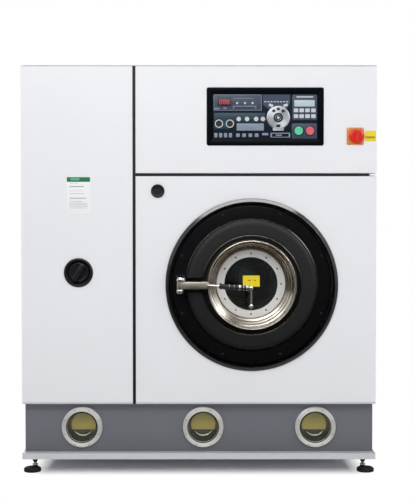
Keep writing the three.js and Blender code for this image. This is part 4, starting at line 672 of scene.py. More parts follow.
def levellingFoot(name, node):
    # a broad grooved pad, set further out than the threaded stud, which widens to a cone under the tray
    size = {"pad": 20, "shift": 11, "socket": 14, "cone": 19.5, "coneRise": 22, "nut": 13, "stud": 7.4}
    low, high = edges(node)
    wall, rise, top = (high[1] - low[1]) / 2, size["pad"], high[2]
    out = np.array([1 if low[0] > 0 else -1, 1 if low[1] > 500 else -1, 0])
    padAt = np.where(out > 0, high - wall, low + wall) * [1, 1, 0]
    studAt = padAt - out * size["shift"]
    pad = [
        (0, 0), (wall - 2, 0), (wall, 3), (wall, 7), (wall - 1.4, 8), (wall - 1.4, 9.4), (wall, 10.4),
        (wall, rise - 6), (wall - 7, rise), (0, rise),
    ]
    pad = lathed(pad, [0] + [1.1] * 6 + [3, 3, 0], padAt, True, "up", 72, 3)
    make(name + "Pad", pad, "footRubber", stands=node)
    r, base = size["socket"], top - size["coneRise"]
    socket = [(0, rise - 1), (r, rise - 1), (r * 0.8, rise + 6.8), (0, rise + 6.8)]
    cone = [(0, base), (8, base), (size["cone"], top - 1), (size["cone"], top), (0, top)]
    lower = lathed(socket, 1.2, studAt, True, "up", 40, 3)
    upper = lathed(cone, 0.8, studAt, True, "up", 48, 3)
    make(name + "Cone", joined(lower, upper), "footRubber")
    heights = np.arange(rise + 5, base + 3, 1.25)
    thread = np.stack([size["stud"] - 0.5 * (np.arange(len(heights)) % 2), heights], -1)
    stud = turned([(0, heights[0]), *thread.tolist(), (0, heights[-1])], studAt, "up", 24, False)
    wide, bottom = size["nut"], rise + 8
    section = [(7, 0), (wide * 0.88, 0), (wide, 1), (wide, 6), (wide * 0.88, 7), (7, 7)]
    nut = turned([(r, bottom + z) for r, z in section], studAt, "up", 6)
    make(name + "Stud", joined(stud, nut), "zincPlate", sharp=25)


bodyScrews()
seamRubber()
for side in ("front", "rear"):
    for place in ("left", "right"):
        levellingFoot("foot" + side.capitalize() + place.capitalize(), "foot_" + side + "_" + place)
print("casing, screws and feet made")


def sightGlass(side):
    # a turned flange with a seat for a slightly domed glass, and the tank's look behind it, partly painted
    # light: a glowing back disc, a near-black lining as painted shade in the bore, and a bright steel arc
    # as a painted highlight
    size = {"glass": 71, "bore": 69, "crown": 3, "wall": 48, "far": 55, "level": -22, "seal": 3.4}
    screws = {"count": 8, "circle": 87, "radius": 3.4, "rise": 1.8, "start": 22.5}
    node, name, centre = "sight_flange_" + side, side.capitalize(), onDoors("sight_flange_" + side)
    low, high = edges(node)
    outer, front, back = (high[0] - low[0]) / 2, low[1], high[1]
    glass, bore, wall, far, end = size["glass"], size["bore"], size["wall"], size["far"], back - 3
    metal("sightSteel" + name, (246, 246, 240), 0.5, 0.00002, centre=centreOf(centre), scale=0.6, bare=0.5)
    flange = [
        (glass + 0.3, front + 1.5), (glass + 2, front), (outer - 4, front), (outer, front + 4),
        (outer, wall - 0.3), (glass, wall - 0.3), (glass, back), (bore, back), (bore, front + 9.3),
        (glass + 0.3, front + 9.3),
    ]
    make("sightFlange" + name, lathed(flange, 1.6, centre), "sightSteel" + name, stands=node)
    r = np.linspace(0, glass, 10)
    dome = front + 1 - size["crown"] * (1 - (r / glass) ** 2)
    pane = [*np.stack([r, dome], -1).tolist(), (glass, front + 9), (0, front + 9)]
    pane = turned(pane, centre, closed=False)
    make("sightGlass" + name, pane, "sightGlass", stands="sight_glass_" + side)
    head = screwHead(screws["radius"], screws["rise"])
    heads = screwRing(head, screws["count"], screws["circle"], centre + [0, front, 0], screws["start"])
    make("sightScrews" + name, heads, "zincPlate")
    reach = glass + size["seal"]
    seal = [(glass - 1, front + 1.4), (glass - 1, front - 0.2), (reach, front - 0.5), (reach, front + 1.4)]
    make("sightSeal" + name, lathed(seal, 0.4, centre), "sealRubber")
    near = front + 9.6
    # painted shade: the lining is near black, standing in for the shade inside the bore
    lining = [(bore - 0.2, near), (bore - 0.2, front + 14), (far + 3, end), (far, end), (bore - 3, near)]
    make("sightTube" + name, lathed(lining, 0.6, centre), "sightTubePaintedShade")
    disc = [(0, end - 1.5), (far + 1, end - 1.5), (far + 1, end - 0.2), (0, end - 0.2)]
    # painted light: a glowing back disc stands in for light that comes in through the glass
    make("sightPaintedGlow" + name, turned(disc, centre, closed=False), "sightPaintedGlow")
    # painted highlight: a bright steel arc low in the bore, swelling in the middle, stands in for the
    # crescent of light at the foot of the glass
    turn = np.radians(np.linspace(212, 328, 40))
    x, z = (far - 9) * np.cos(turn), (far - 9) * np.sin(turn)
    arc = np.stack([x, np.full(40, end - 20), z], -1) + centre
    swell = 0.6 + 3.4 * np.sin(np.linspace(0, np.pi, 40))
    make("sightPaintedGlint" + name, tube(arc, swell, 12), "hingeSteel")
    pool = solventPool(far - 0.4, size["level"], end - 16, end - 1.6)
    make("solventPool" + name, moved(pool, centre), "solvent", sharp=20)


def solventPool(radius, level, front, back):
    # the part of a round bar that lies under a level line
    start = math.asin(level / radius)
    turn = np.linspace(math.pi - start, 2 * math.pi + start, 40)
    x, z = radius * np.cos(turn), np.minimum(radius * np.sin(turn), level)
    return lofted(np.array([np.stack([x, np.full(40, depth), z], -1) for depth in (front, back)]))


for side in ("left", "middle", "right"):
    sightGlass(side)
print("sight glasses made")


def latch():
    # a sunk cup with a rolled rim, and a round handle with a raised bar across it; a deep black strip on
    # the bar is painted shade that stands in for a groove
    size = {
        "rim": 68, "rimWidth": 11, "proud": 8, "cup": 24, "handle": 50, "bar": 26, "tilt": 60, "shaft": 8,
        "cam": 45,
    }
    centre = onDoors("latch_cup")
    rim, proud, cup = size["rim"], size["proud"], size["cup"]
    inner = rim - size["rimWidth"]
    profile = [
        (inner, 1 - proud), (inner + 3, -proud), (rim - 4, -proud), (rim, 4 - proud), (rim, -0.3),
        (inner + 3, -0.3), (inner + 3, cup + 3), (8.3, cup + 3), (8.3, cup), (inner, cup),
    ]
    shape = lathed(profile, [2, 2, 4, 4, 0.3, 0.5, 1, 0.3, 0.3, 3], centre)
    make("latchCup", shape, "blackPlastic", "left_door", "latch_cup")
    base, radius = cup - 1.5, size["handle"]
    plate = lathed([
        (0, base - 8), (radius - 16, base - 8), (radius - 10, base - 11), (radius - 4, base - 10),
        (radius, base - 5), (radius, base), (0, base),
    ], 2.2, centre, True)
    bar, tilt = size["bar"], size["tilt"]
    bar = slab(radius * 2 - 6, bar, bar / 2, -12, base - 5, 5, centre, tilt=tilt, steps=10)
    # painted shade: a thin deep black strip on the bar's face stands in for the shade in a groove
    grooveShadeStrip = slab(radius * 1.1, 5, 2.5, -13, -10.5, 0.9, centre, tilt=tilt)
    shapes = joined(plate, bar, *camOn(centre, size["shaft"], base, size["cam"], (54, 16, 19)))
    make("latchHandle", shapes, "blackPlastic", "latch_handle", "latch_handle")
    make("latchGroovePaintedShade", grooveShadeStrip, "deepBlackPaint", "latch_handle")


def camOn(centre, radius, front, back, cam):
    # a shaft through the door, and a cam on its end
    length, width, offset = cam
    shaft = turned([(0, front), (radius, front), (radius, back), (0, back)], centre, "front", 32, False)
    return shaft, slab(length, width, 4, back - 4, back, 1, centre + [offset, 0, 0])


def panelLock():
    # a round knob with a sunk slot, drawn as a deep black plate on its face whose painted shade stands in
    # for the slot's depth, and its cam behind the panel
    size = {"radius": 31.5, "shaft": 7, "cam": 45, "slot": (28, 5)}
    radius = size["radius"]
    centre = middle("panel_lock", (0, 0, 1)) + [edges("panel_lock")[0][0] + radius, 0, 0]
    knob = [(0, -6), (19, -6), (22, -7), (25.5, -9), (29.5, -9), (radius, -6), (radius, -1.5), (0, -1.5)]
    parts = camOn(centre, size["shaft"], -1.5, size["cam"], (53, 14, 19.5))
    shape = joined(lathed(knob, 1.4, centre, True), *parts)
    make("panelLock", shape, "blackPlastic", "panel_lock", "panel_lock")
    # painted shade: the slot is a thin deep black plate on the knob's face, standing in for the shade in a
    # sunk slot
    make("lockSlotPaintedShade", slab(*size["slot"], 2.4, -6.6, -5.4, 0.4, centre), "deepBlackPaint", "panel_lock")


def doorLabel():
    # a plain card: a green head over grey rules that stand for the print
    size = {"box": (-613, -504.7, 1213.4, 1381.7), "head": 22, "patch": 42, "margin": 13}
    rules = {  # each rule's drop from the top edge, its length and its thickness
        30: (40, 2), 44: (66, 7), 64: (62, 2), 77: (66, 3), 98: (76, 6),
        113: (60, 3), 121: (82, 3), 128: (84, 3), 135: (84, 3), 143: (80, 3),
    }
    left, right, _, high = size["box"]
    x, headZ = (left + right) / 2, high - size["head"] / 2
    make("doorLabel", boxSlab(size["box"], 2.5, -0.5, -0.05, 0.15), "labelFilm", "left_door")
    head = slab(right - left - 1, size["head"], 2, -0.75, -0.45, 0.1, (x, 0, headZ))
    make("doorLabelHead", head, "labelGreen", "left_door")
    patch = slab(size["patch"], size["head"] * 0.55, 1.5, -0.9, -0.7, 0.08, (x - 16, 0, headZ + 1))
    make("doorLabelPatch", patch, "labelPaleGreen", "left_door")
    shapes = []
    for drop, (length, thickness) in rules.items():
        at = (left + size["margin"] + length / 2, 0, high - drop)
        shapes.append(slab(length, thickness * 0.55, 0.5, -0.6, -0.48, 0.05, at, steps=2))
    make("doorLabelRules", joined(*shapes), "labelGrey", "left_door")


latch()
panelLock()
doorLabel()
print("latch, lock and label made")

# Control panel. Places on the screen run from 0 to 1, to the right and down;
# a box there is its left, right, upper and lower edge.

screenLow, screenHigh = edges("display_screen")
face = screenLow[1]
wide, tall = (screenHigh - screenLow)[[0, 2]]
sunk = 0.05  # how far print is let into the screen
screen = {
    "corners": [(0.475, 0.01), (0.738, 0.01), (0.738, 0.2), (0.7, 0.36), (0.55, 0.36), (0.475, 0.235)],
    "header": (0.8, 0.96, 0.048, 0.075),
    "keys": {"u": (0.795, 0.85, 0.906, 0.962), "v": (0.363, 0.493), "size": (0.043, 0.085)},
    "digits": (0.055, 0.16, 0.115, 0.235),
    "lamps": {"u": (0.23, 0.305, 0.378), "v": 0.2, "radius": 5.0},
    "gauges": {"u": (0.245, 0.325, 0.413, 0.477), "v": 0.555, "radius": 10.5},
    "dials": {"u": (0.055, 0.16), "v": 0.63, "radius": 19.0},
    "drum": {"u": 0.625, "v": 0.525, "radius": 54.0},
}
panels = [(0.005, 0.465, 0.01, 0.365), (0.76, 0.997, 0.013, 0.58), (0.755, 0.997, 0.655, 0.995)]
lines = [
    (0.19, 0.415, 0.262, 0.278), (0.191, 0.2, 0.27, 0.33), (0.405, 0.414, 0.27, 0.33),
    (0.19, 0.385, 0.09, 0.1), (0.01, 0.06, 0.31, 0.335), (0.1, 0.128, 0.3, 0.33),
    (0.005, 0.465, 0.01, 0.022), (0.005, 0.465, 0.353, 0.365), (0.0055, 0.01, 0.018, 0.357),
    (0.46, 0.4645, 0.018, 0.357),
]
tealAreas = [(0.01, 0.5, 0.42, 0.64), (0.01, 0.156, 0.65, 0.785)]
blocks = [(0.01 + 0.047 * k, 0.04 + 0.047 * k, 0.87, 0.97) for k in range(4)]
blocks += [(0.22 + 0.06 * k, 0.255 + 0.06 * k, 0.88, 0.96) for k in range(4)]
blocks += [
    (0.47, 0.53, 0.87, 0.92), (0.55, 0.74, 0.865, 0.885), (0.55, 0.74, 0.955, 0.97),
    (0.55, 0.565, 0.885, 0.955), (0.725, 0.74, 0.885, 0.955), (0.6, 0.66, 0.905, 0.935),
]


def onScreen(u, v):
    return np.array([screenLow[0] + u * wide, 0, screenHigh[2] - v * tall])


def screenBox(box, lift, radius):
    # a thin raised print that stands out of the screen's face by lift
    u0, u1, v0, v1 = box
    width, rise = (u1 - u0) * wide, (v1 - v0) * tall
    reach = min(radius, width / 2.2, rise / 2.2)
    at = onScreen((u0 + u1) / 2, (v0 + v1) / 2)
    return slab(width, rise, reach, face - lift, face + sunk, min(0.12, reach / 2), at, steps=4)


def printBoxes(name, boxes, lift, radius, surface, *others):
    # boxes of one height and corner, and any other shapes, as one piece
    make(name, joined(*[screenBox(box, lift, radius) for box in boxes], *others), surface)


def faceRing(outer, inner, lift, back, at, steps=96):
    # a flat ring, or a disc where inner is 0, that stands out of the screen's face by lift
    corners = [(inner, face - lift), (outer, face - lift), (outer, face + back), (inner, face + back)]
    return turned(corners, at, "front", steps, inner > 0)


def screenDisc(u, v, radius, lift):
    # a raised dot with a softened edge
    top, back = face - lift, face + sunk
    profile = [(0, top), (radius - 0.3, top), (radius, top + 0.2), (radius, back), (0, back)]
    return turned(profile, onScreen(u, v), steps=40, closed=False)


def digitBars(box, count, lift):
    # seven bars to a digit, some digits side by side
    u0, u1, v0, v1 = box
    left, top = onScreen(u0, v0)[[0, 2]]
    rise, pitch = (v1 - v0) * tall, (u1 - u0) * wide / count
    level = [(0, drop, pitch * 0.5, rise * 0.11) for drop in (0.12, 0.5, 0.88)]
    upright = [(x * pitch * 0.31, drop, rise * 0.11, rise * 0.28) for x in (-1, 1) for drop in (0.3, 0.7)]
    bars = []
    for k in range(count):
        for x, drop, width, length in level + upright:
            at = (left + (k + 0.5) * pitch + x, 0, top - drop * rise)
            bars.append(slab(width, length, 0.6, face - lift, face, 0.1, at, steps=2))
    return joined(*bars)


def pentagon(lift):
    # a plate whose lower corners are cut away beside the round sign
    outline = softLoop(np.array(screen["corners"]) * [wide, tall], 5, 4)
    x, z = screenLow[0] + outline[:, 0], screenHigh[2] - outline[:, 1]
    return lofted(np.array([np.stack([x, np.full(len(x), y), z], -1) for y in (face - lift, face + sunk)]))


def screenPrint():
    # generic panels, bars, blocks and dots that stand for the screen's drawing and words
    lamps, gauges, dials, keys = (screen[key] for key in ("lamps", "gauges", "dials", "keys"))
    printBoxes("screenPanels", panels, 0.5, 5, "screenPanel", pentagon(0.5))
    printBoxes("screenLines", lines, 0.8, 1, "screenSilver")
    printBoxes("screenTealAreas", tealAreas, 0.4, 2, "screenTeal")
    silver = screenBox((0.225, 0.487, 0.655, 0.815), 0.7, 3)
    printBoxes("screenSilverAreas", blocks, 0.6, 2.5, "screenSilver", silver)
    a, b = np.array(keys["size"]) / 2
    boxes = [(u - a, u + a, v - b, v + b) for u in keys["u"] for v in keys["v"]]
    printBoxes("screenKeys", boxes, 1.1, 2.5, "screenPale", screenBox(screen["header"], 0.7, 1))
    printBoxes("screenCell", [(0.779, 0.974, 0.134, 0.276)], 0.8, 1.5, "screenCell")
    ground = np.add(screen["digits"], (-0.012, 0.012, -0.05, 0.03))
    printBoxes("digitGround", [ground], 0.7, 1.5, "deepBlackPaint")
    make("digitBars", digitBars(screen["digits"], 3, 1.0), "screenRed")
    rounds = [screenDisc(u, part["v"], part["radius"], 0.9) for part in (lamps, gauges) for u in part["u"]]
    radius, v = dials["radius"], dials["v"] + 0.03
    rounds += [faceRing(radius, radius - 4, 0.9, sunk, onScreen(u, v), 40) for u in dials["u"]]
    make("screenRounds", joined(*rounds), "screenPale")
    grounds = [screenDisc(u, dials["v"], radius + 3, 0.6) for u in dials["u"]]
    grounds += [screenDisc(u, gauges["v"], gauges["radius"] + 6, 0.6) for u in gauges["u"]]
    make("screenGrounds", joined(*grounds), "deepBlackPaint")


def drumSign():
    # a round plate with a black eye, three dots over it and a slot under it
    radius, at = screen["drum"]["radius"], onScreen(screen["drum"]["u"], screen["drum"]["v"])
    metal("signSteel", (192, 198, 204), 0.36, centre=centreOf(at))
    back = face + sunk
    profile = [(0, face - 1.4), (radius - 4, face - 1.9), (radius, face - 0.9), (radius, back), (0, back)]
    foot = slab(50, 22, 3, face - 1.3, back, 0.2, at - [0, 0, radius - 4])
    make("signPlate", joined(lathed(profile, 0.8, at, True), foot), "signSteel")
    marks = [faceRing(22, 14, 2.3, -1.2, at), faceRing(12.5, 0, 2.1, -1.2, at)]
    for width, corner, x, z in ((15, 6, -21, 31), (15, 6, 0, 40), (15, 6, 22, 31), (20, 5, 0, -38)):
        marks.append(slab(width, 13, corner, face - 2.2, face - 1.0, 0.3, at + [x, 0, z]))
    make("signMarks", joined(*marks), "deepBlackPaint")
    ears = [slab(20, 12, 3, face - 1.0, back, 0.3, at + [x * 34, 0, 57], tilt=x * 20) for x in (-1, 1)]
    glint = turned([(0, face - 2.5), (6, face - 2.4), (6, face - 2.0), (0, face - 2.0)], at, closed=False)
    tops = [slab(9, 4.5, 1, face - 0.9, face, 0.1, onScreen(0.5 + 0.03 * k, 0.17)) for k in range(8)]
    make("signEars", joined(*ears, glint, *tops), "screenPale")


def displayFrame():
    # a frame with soft corners round the screen, and the box of the electronics behind it
    size = {"radius": 9, "gap": 0.6, "innerRadius": 2, "box": 11, "boxFront": 2.4}
    low, high = edges("display_housing")
    front, centre = low[1], onDoors("display_housing")
    width, rise = (screenHigh - screenLow)[[0, 2]] + size["gap"]
    outer = softLoop([(0, -0.3), (0, front + 2.5), (-2.5, front), (-8, front)], 1.6, 4, False)
    inner = np.array([(3.0, front), (0.6, front + 0.8), (0, front + 2.2), (0, -0.3)])
    outerPath = boxPath(high[0] - low[0], high[2] - low[2], size["radius"])
    innerPath = boxPath(width, rise, size["innerRadius"])
    rings = np.concatenate([carry(outerPath, outer, centre)[0], carry(innerPath, inner, centre)[0]])
    rings = rings.reshape(len(outer) + len(inner), -1, 3)
    shape = lofted(rings, loopRows=True, caps=False)
    make("displayFrame", shape, "displayBlack", stands="display_housing")
    box = slab(width + size["box"], rise + size["box"], 3, size["boxFront"], high[1], 1, centre)
    make("displayBox", box, "zincPlate")


def pushKey(name, node):
    # a domed cap with a finger dish, and its collar behind the screen
    centre, (low, high) = onDoors(node), edges(node)
    front, back = low[1], high[1]
    profile = [
        (0, front + 1.3), (9, front + 1.0), (15.5, front), (18.6, front + 0.6), (20, front + 3),
        (20, back - 13.7), (22.4, back - 13.7), (22.4, back - 10), (6, back - 10), (6, back), (0, back),
    ]
    cap = lathed(profile, [0, 3, 2, 1.4, 1.2, 0.3, 0.3, 0.3, 0.3, 0.5, 0], centre, True, "front", 64)
    make(name, cap, name + "Plastic", node, node)
    ring = [(20.5, face - 1.4), (24, face - 1.4), (24.6, face), (20.4, face)]
    make(name + "Ring", lathed(ring, 0.4, centre, steps=64), "blackPlastic")


def mainSwitch():
    # a plate with a screw in each corner, and a knob with ridges round it and a thick bar across it; a
    # darker red strip on the bar is painted shade that stands in for an index groove
    size = {
        "screwInset": 7, "ridges": 24, "ridgeRise": 0.75, "ridgeFrom": 29, "steps": 144, "bar": (16, 60),
    }
    plate, knob = onDoors("switch_plate"), onDoors("switch_handle")
    low, high = edges("switch_plate")
    width = high[0] - low[0]
    collar = lathed([(34.6, -5), (36.8, -5), (38, -3.8), (34.6, -3.8)], 0.5, knob)
    shape = joined(slab(width, width, 5, -4, -0.3, 1.2, plate), collar)
    make("switchPlate", shape, "switchYellow", stands="switch_plate")
    inset = width / 2 - size["screwInset"]
    corners = np.array([(x * inset, -4, z * inset) for x in (-1, 1) for z in (-1, 1)])
    make("switchScrews", repeated(screwHead(3.4, 1.2), corners + plate), "zincPlate")
    outward, steps = circle(size["steps"]), size["steps"]
    ridge = size["ridgeRise"] * np.cos(np.arange(steps) * 2 * np.pi / steps * size["ridges"])
    corners = [(0, -19.5), (27, -19.5), (31.5, -17), (33, -12), (33, -6), (31.6, -5.5), (0, -5.5)]
    radius, depth = softLoop(corners, 1.6, 3, False).T[..., None]
    flat = outward[None] * (radius + ridge[None] * (radius > size["ridgeFrom"]))[..., None]
    depth = np.broadcast_to(depth, flat.shape[:2])
    cap = lofted(np.stack([flat[..., 0], depth, flat[..., 1]], -1), knob, caps=False)
    bar = slab(*size["bar"], 7, -33.5, -10, 3.5, knob, steps=8)
    shaft = turned([(0, -5.6), (6, -5.6), (6, 38), (0, 38)], knob, closed=False, steps=32)
    make("switchKnob", joined(cap, bar, shaft), "switchRed", "switch_handle", "switch_handle")
    # painted shade: a thin darker red strip on the bar's face stands in for the shade in an index groove
    mark = slab(3, 16, 1.4, -33.9, -33.2, 0.3, knob + [0, 0, 17])
    make("switchMarkPaintedShade", mark, "switchDarkRed", "switch_handle")


def yellowLabel():
    # a plain card with one darker band
    box = (768.4, 821.5, 1548, 1596.6)
    left, right, low, high = box
    width, rise = right - left, high - low
    make("switchLabel", boxSlab(box, 2, -0.5, -0.05, 0.15), "labelYellow")
    at = ((left + right) / 2, 0, (low + high) / 2 - rise * 0.13)
    make("switchLabelBand", slab(width * 0.86, rise * 0.2, 1.5, -0.65, -0.45, 0.08, at), "labelOlive")


displayFrame()
screenPrint()
drumSign()
pushKey("startKey", "start_button")
pushKey("stopKey", "stop_button")
mainSwitch()
yellowLabel()
print("control panel made")

# Loading port: rings, dish, window and arm. Radii, and depths behind the doors' faces

portSize = {
    "trim": (383, 402, 20), "frontRing": (226, 372, 12), "skirt": 149.7, "cover": (231, 305, 16),
    "coverBack": 11.7, "slot": 34, "neck": (219, 223), "dishRim": 206, "dishProud": 50, "dishFloor": 168,
    "dishDepth": 100, "sheet": 4, "window": (126, 164), "glass": 137.6,
}
rimX = port[0] - portSize["dishRim"]


def trimRing():
    # a moulding with a broad outward bevel and a spigot that lines the panel's round opening
    inner, outer, proud = portSize["trim"]
    profile = [
        (inner, -proud + 3), (inner + 1, -proud), (outer - 16, -proud), (outer - 0.6, -7), (outer, -0.3),
        (inner + 3, -0.3), (inner + 3, 38), (inner, 38),
    ]
    shape = lathed(profile, [1.5, 2, 2.5, 2.5, 0.4, 0.4, 0.4, 0.4], port, steps=192, bends=5)
    make("trimRing", shape, "trimBlack", "front_panel", "trim_ring")


def frontRing():
    # a broad flat ring with rounded edges, whose skirt runs back to the tub
    inner, outer, depth = portSize["frontRing"]
    skirt = portSize["skirt"]
    profile = [
        (inner, depth), (outer, depth), (outer, skirt), (outer - 3, skirt), (outer - 3, depth + 3),
        (inner, depth + 3),
    ]
    ring = lathed(profile, [1, 7, 1, 1, 5, 1], port, steps=192, bends=5)
    make("frontRing", ring, "blackGloss", stands="front_ring")
    heads = screwRing(screwHead(6, 2.4), 8, outer - 20, port + [0, depth, 0], 22.5)
    make("frontRingScrews", heads, "blackPlastic")


def slottedRing(profile, half, steps=180):
    # a profile carried round the port; at each radius it starts and ends where a straight slot cuts it
    radius, depth = profile[:, 0], profile[:, 1]
    start = np.pi + np.arcsin(half / radius)
    turn = start[:, None] + np.linspace(0, 1, steps)[None] * (2 * np.pi - 2 * (start - np.pi))[:, None]
    spread = np.broadcast_to(depth[:, None], turn.shape)
    points = np.stack([radius[:, None] * np.cos(turn), spread, radius[:, None] * np.sin(turn)], -1)
    rows = len(radius)
    ends = [[k * steps + end for k in range(rows)] for end in (0, steps - 1)]
    return points.reshape(-1, 3) + port, gridFaces(rows, steps, True, False) + ends


def coverRing():
    # a crowned ring with a slot for the arm, a steel bead round it and a rolled lip inside it
    inner, outer, proud = portSize["cover"]
    back, slot = portSize["coverBack"], portSize["slot"]
    profile = softLoop([
        (inner, 4 - proud), (inner + 5, -proud), (outer - 20, 1.5 - proud), (outer - 6, 6 - proud),
        (outer, 14 - proud), (outer, back), (inner, back),
    ], [2, 3, 10, 6, 5, 0.5, 0.5], 5)
    make("coverRing", slottedRing(profile, slot), "coverPaint", stands="cover_ring")
    near, far = outer + 0.2, outer + 5.6
    bead = softLoop([(near, 4.5), (far, 7.5), (far, 11.9), (near, 11.9)], 1.9)
    make("coverBead", slottedRing(bead, slot + 6), "beadSteel")
    near, far = inner - 2.4, inner + 1.4
    lip = softLoop([(near, 8 - proud), (near, 3 - proud), (far, 1 - proud), (far, 6 - proud)], 1.5)
    make("coverLip", slottedRing(lip, slot + 6), "lipSteel")


def portSeal():
    # a rubber ring with two lips towards the dish
    outer = portSize["neck"][0] - 0.3
    profile = [
        (outer - 10.7, 13), (outer - 7, 8), (outer - 3.5, 9.5), (outer, 8), (outer, 24), (outer - 5, 24),
        (outer - 7, 21), (outer - 9.5, 19),
    ]
    make("portSeal", lathed(profile, 1.8, port, steps=160), "sealRubber", stands="port_seal")


def doorDish():
    # a rolled rim, three pressed steps down to the floor, a seating flange outside and the window's bore
    rim, proud, floor, depth, sheet = (
        portSize[key] for key in ("dishRim", "dishProud", "dishFloor", "dishDepth", "sheet")
    )
    bead, wall, seat, bore, outer = 2.4, rim - 1.5, 214, 132, depth + sheet
    inside = softLoop([
        (floor, depth), (floor, 98), (179.6, 94), (180.4, 78), (190, 74), (190.8, 47), (200.4, 43),
        (rim - 2 * bead, bead - proud),
    ], [0, 0.6, 2, 2, 2, 2, 2, 0], 5, False)
    turn = np.radians(np.linspace(180, 0, 14))
    rolled = np.stack([rim - bead + bead * np.cos(turn), bead - proud - bead * np.sin(turn)], -1)
    outside = softLoop([
        (204, 12), (204, 46.5), (194.4, 51), (193.6, 77.5), (184, 82.5), (183, 97), (floor + 3, outer),
    ], [0, 5, 4, 4, 4, 4, 0], 5, False)
    profile = [
        *inside.tolist(), *rolled.tolist()[1:], (rim, bead - proud + 2), (wall, bead - proud + 4),
        (wall, 0.7), (seat, 0.7), (seat, 7.7), (wall, 7.7), *outside.tolist(), (bore, outer),
        (bore, depth),
    ]
    make("doorDish", turned(profile, port, steps=192), "spunSteel", "loading_door", "door_dish", 28)
    gasket = [(rim + 0.4, 0.6), (rim + 0.4, -1), (seat + 0.4, -1), (seat + 0.4, 0.6)]
    make("dishGasket", lathed(gasket, 0.5, port, steps=160), "sealRubber", "loading_door")


def window():
    # a stepped ring that holds the pane, its screws, and a gasket at its inner edge
    inner, outer = portSize["window"]
    glass, back, front, seat = portSize["glass"], 99.7, 87.7, 91.7
    profile = [
        (inner, front + 2), (inner + 2, front), (outer - 4, front), (outer, front + 4), (outer, back),
        (glass + 0.3, back), (glass + 0.3, seat), (inner, seat),
    ]
    ring = lathed(profile, [1, 1, 2, 2, 0.5, 0.3, 0.3, 0.5], port, steps=160)
    make("windowRing", ring, "machinedSteel", "loading_door", "window_ring")
    heads = screwRing(screwHead(4.2, 1.8), 12, 143, port + [0, front, 0])
    make("windowScrews", heads, "darkSteel", "loading_door")
    pane = [(0, 92), (glass, 92), (glass, back), (0, back)]
    pane = lathed(pane, [0, 1, 1, 0], port, True, "front", 128, 3)
    make("windowGlass", pane, "windowGlass", "loading_door", "window_glass")
    gasket = [(inner - 1.6, 91.2), (inner - 0.1, 90), (inner - 0.1, 91.9), (inner - 1.6, 91.9)]
    make("windowGasket", lathed(gasket, 0.4, port, steps=128), "sealRubber", "loading_door")


def sticker():
    # a yellow square on the glass, with two small marks
    left, right, low, high = box = (208, 288, 867.4, 920)
    at = np.array([(left + right) / 2, 0, (low + high) / 2])
    make("windowSticker", boxSlab(box, 2, 91.5, 91.95, 0.12), "stickerYellow", "loading_door")
    marks = [slab(width, 5, 1.5, 91.42, 91.52, 0.04, at + [x, 0, 3]) for x, width in ((-9, 15), (16, 11))]
    make("stickerMarks", joined(*marks), "stickerPrint", "loading_door")


def plateStack(outline, low, high, edge, at, centre):
    # an outline of x and depth, stacked from low to high, drawn in towards its centre at both faces
    s = np.radians(np.linspace(0, 90, 4))
    inset = np.concatenate([edge * (1 - np.sin(s)), edge * (1 - np.cos(s))])
    heights = np.concatenate([low + edge * (1 - np.cos(s)), high - edge * (1 - np.sin(s))])
    away = outline - np.array(centre)
    reach = np.linalg.norm(away, axis=1, keepdims=True)
    ring = centre + away[None] * (1 - inset[:, None, None] / np.maximum(reach, 1)[None])
    levels = np.broadcast_to(heights[:, None, None], (*ring.shape[:2], 1))
    return lofted(np.concatenate([ring, levels], -1), at)


def hingeFork():
    # two rounded ears on a base plate, with a screw at each corner
    size = {
        "base": (50, 92), "sheet": 5, "ear": 15, "tail": 9, "gap": 18, "thickness": 16,
        "screws": (-18, 16, 40),
    }
    centre, axis, back = onDoors("hinge_pin"), middle("hinge_pin")[1], portSize["coverBack"]
    ear, thick = size["ear"], size["thickness"]
    base = slab(*size["base"], 6, back - size["sheet"], back, 1.4, centre - [1, 0, 0])
    make("hingeBase", base, "blackGloss")
    s = np.radians(np.linspace(0, 180, 17))
    shapes = []
    for reach, low in ((0, -size["gap"] - thick), (size["tail"], size["gap"])):
        arc = np.stack([-ear * np.cos(s) + reach * (s > 1.6), axis - ear * np.sin(s)], -1)
        outline = np.concatenate([[(ear + reach, back - 2), (-ear, back - 2)], arc])
        shapes.append(plateStack(outline, low, low + thick, 4.5, centre, (0, axis)))
    make("hingeFork", joined(*shapes), "hingeSteel", stands="hinge_bracket", sharp=40)
    left, right, up = size["screws"]
    heads = np.array([(x, back - size["sheet"], z) for x in (left, right) for z in (-up, up)])
    make("hingeForkScrews", repeated(screwHead(4.6, 2.4), heads + centre), "blackPlastic")


def hingePin():
    # two domed heads on a thinner pin
    size = {"head": 11, "dome": 2.6, "headRise": 5, "pin": 7}
    low, high = (corner[2] for corner in edges("hinge_pin"))
    head, dome, rise, pin = (size[key] for key in ("head", "dome", "headRise", "pin"))
    s = np.radians(np.linspace(0, 90, 6))
    r, h = head * np.cos(s), dome * np.sin(s)
    profile = [(0, low), *zip(r[::-1], low + dome - h[::-1]), (head, low + rise), (pin, low + rise)]
    profile += [(pin, high - rise), (head, high - rise), *zip(r, high - dome + h)]
    shape = turned(profile, middle("hinge_pin", (1, 1, 0)), "up", 48, False)
    make("hingePin", shape, "chrome", stands="hinge_pin")


armSize = {
    "rise": 33, "thickness": 12, "barrel": (7.4, 14), "rod": 6, "droop": 3.5, "foot": 30, "edge": 2.2,
    "grip": 12.8, "gripLength": 140, "ribs": 9, "ribDepth": 1.6, "ridges": 18, "inset": 54,
    "collars": ((0.32, 2.4), (0.48, 2.4), (0.64, 12), (0.79, 5), (0.88, 13)),
}
pinX, pinDepth, pinZ = middle("hinge_pin")
armAxis = (0, pinDepth, pinZ)


def drooped(shape):
    return leaned(shape, -armSize["droop"], (rimX, pinDepth, pinZ))


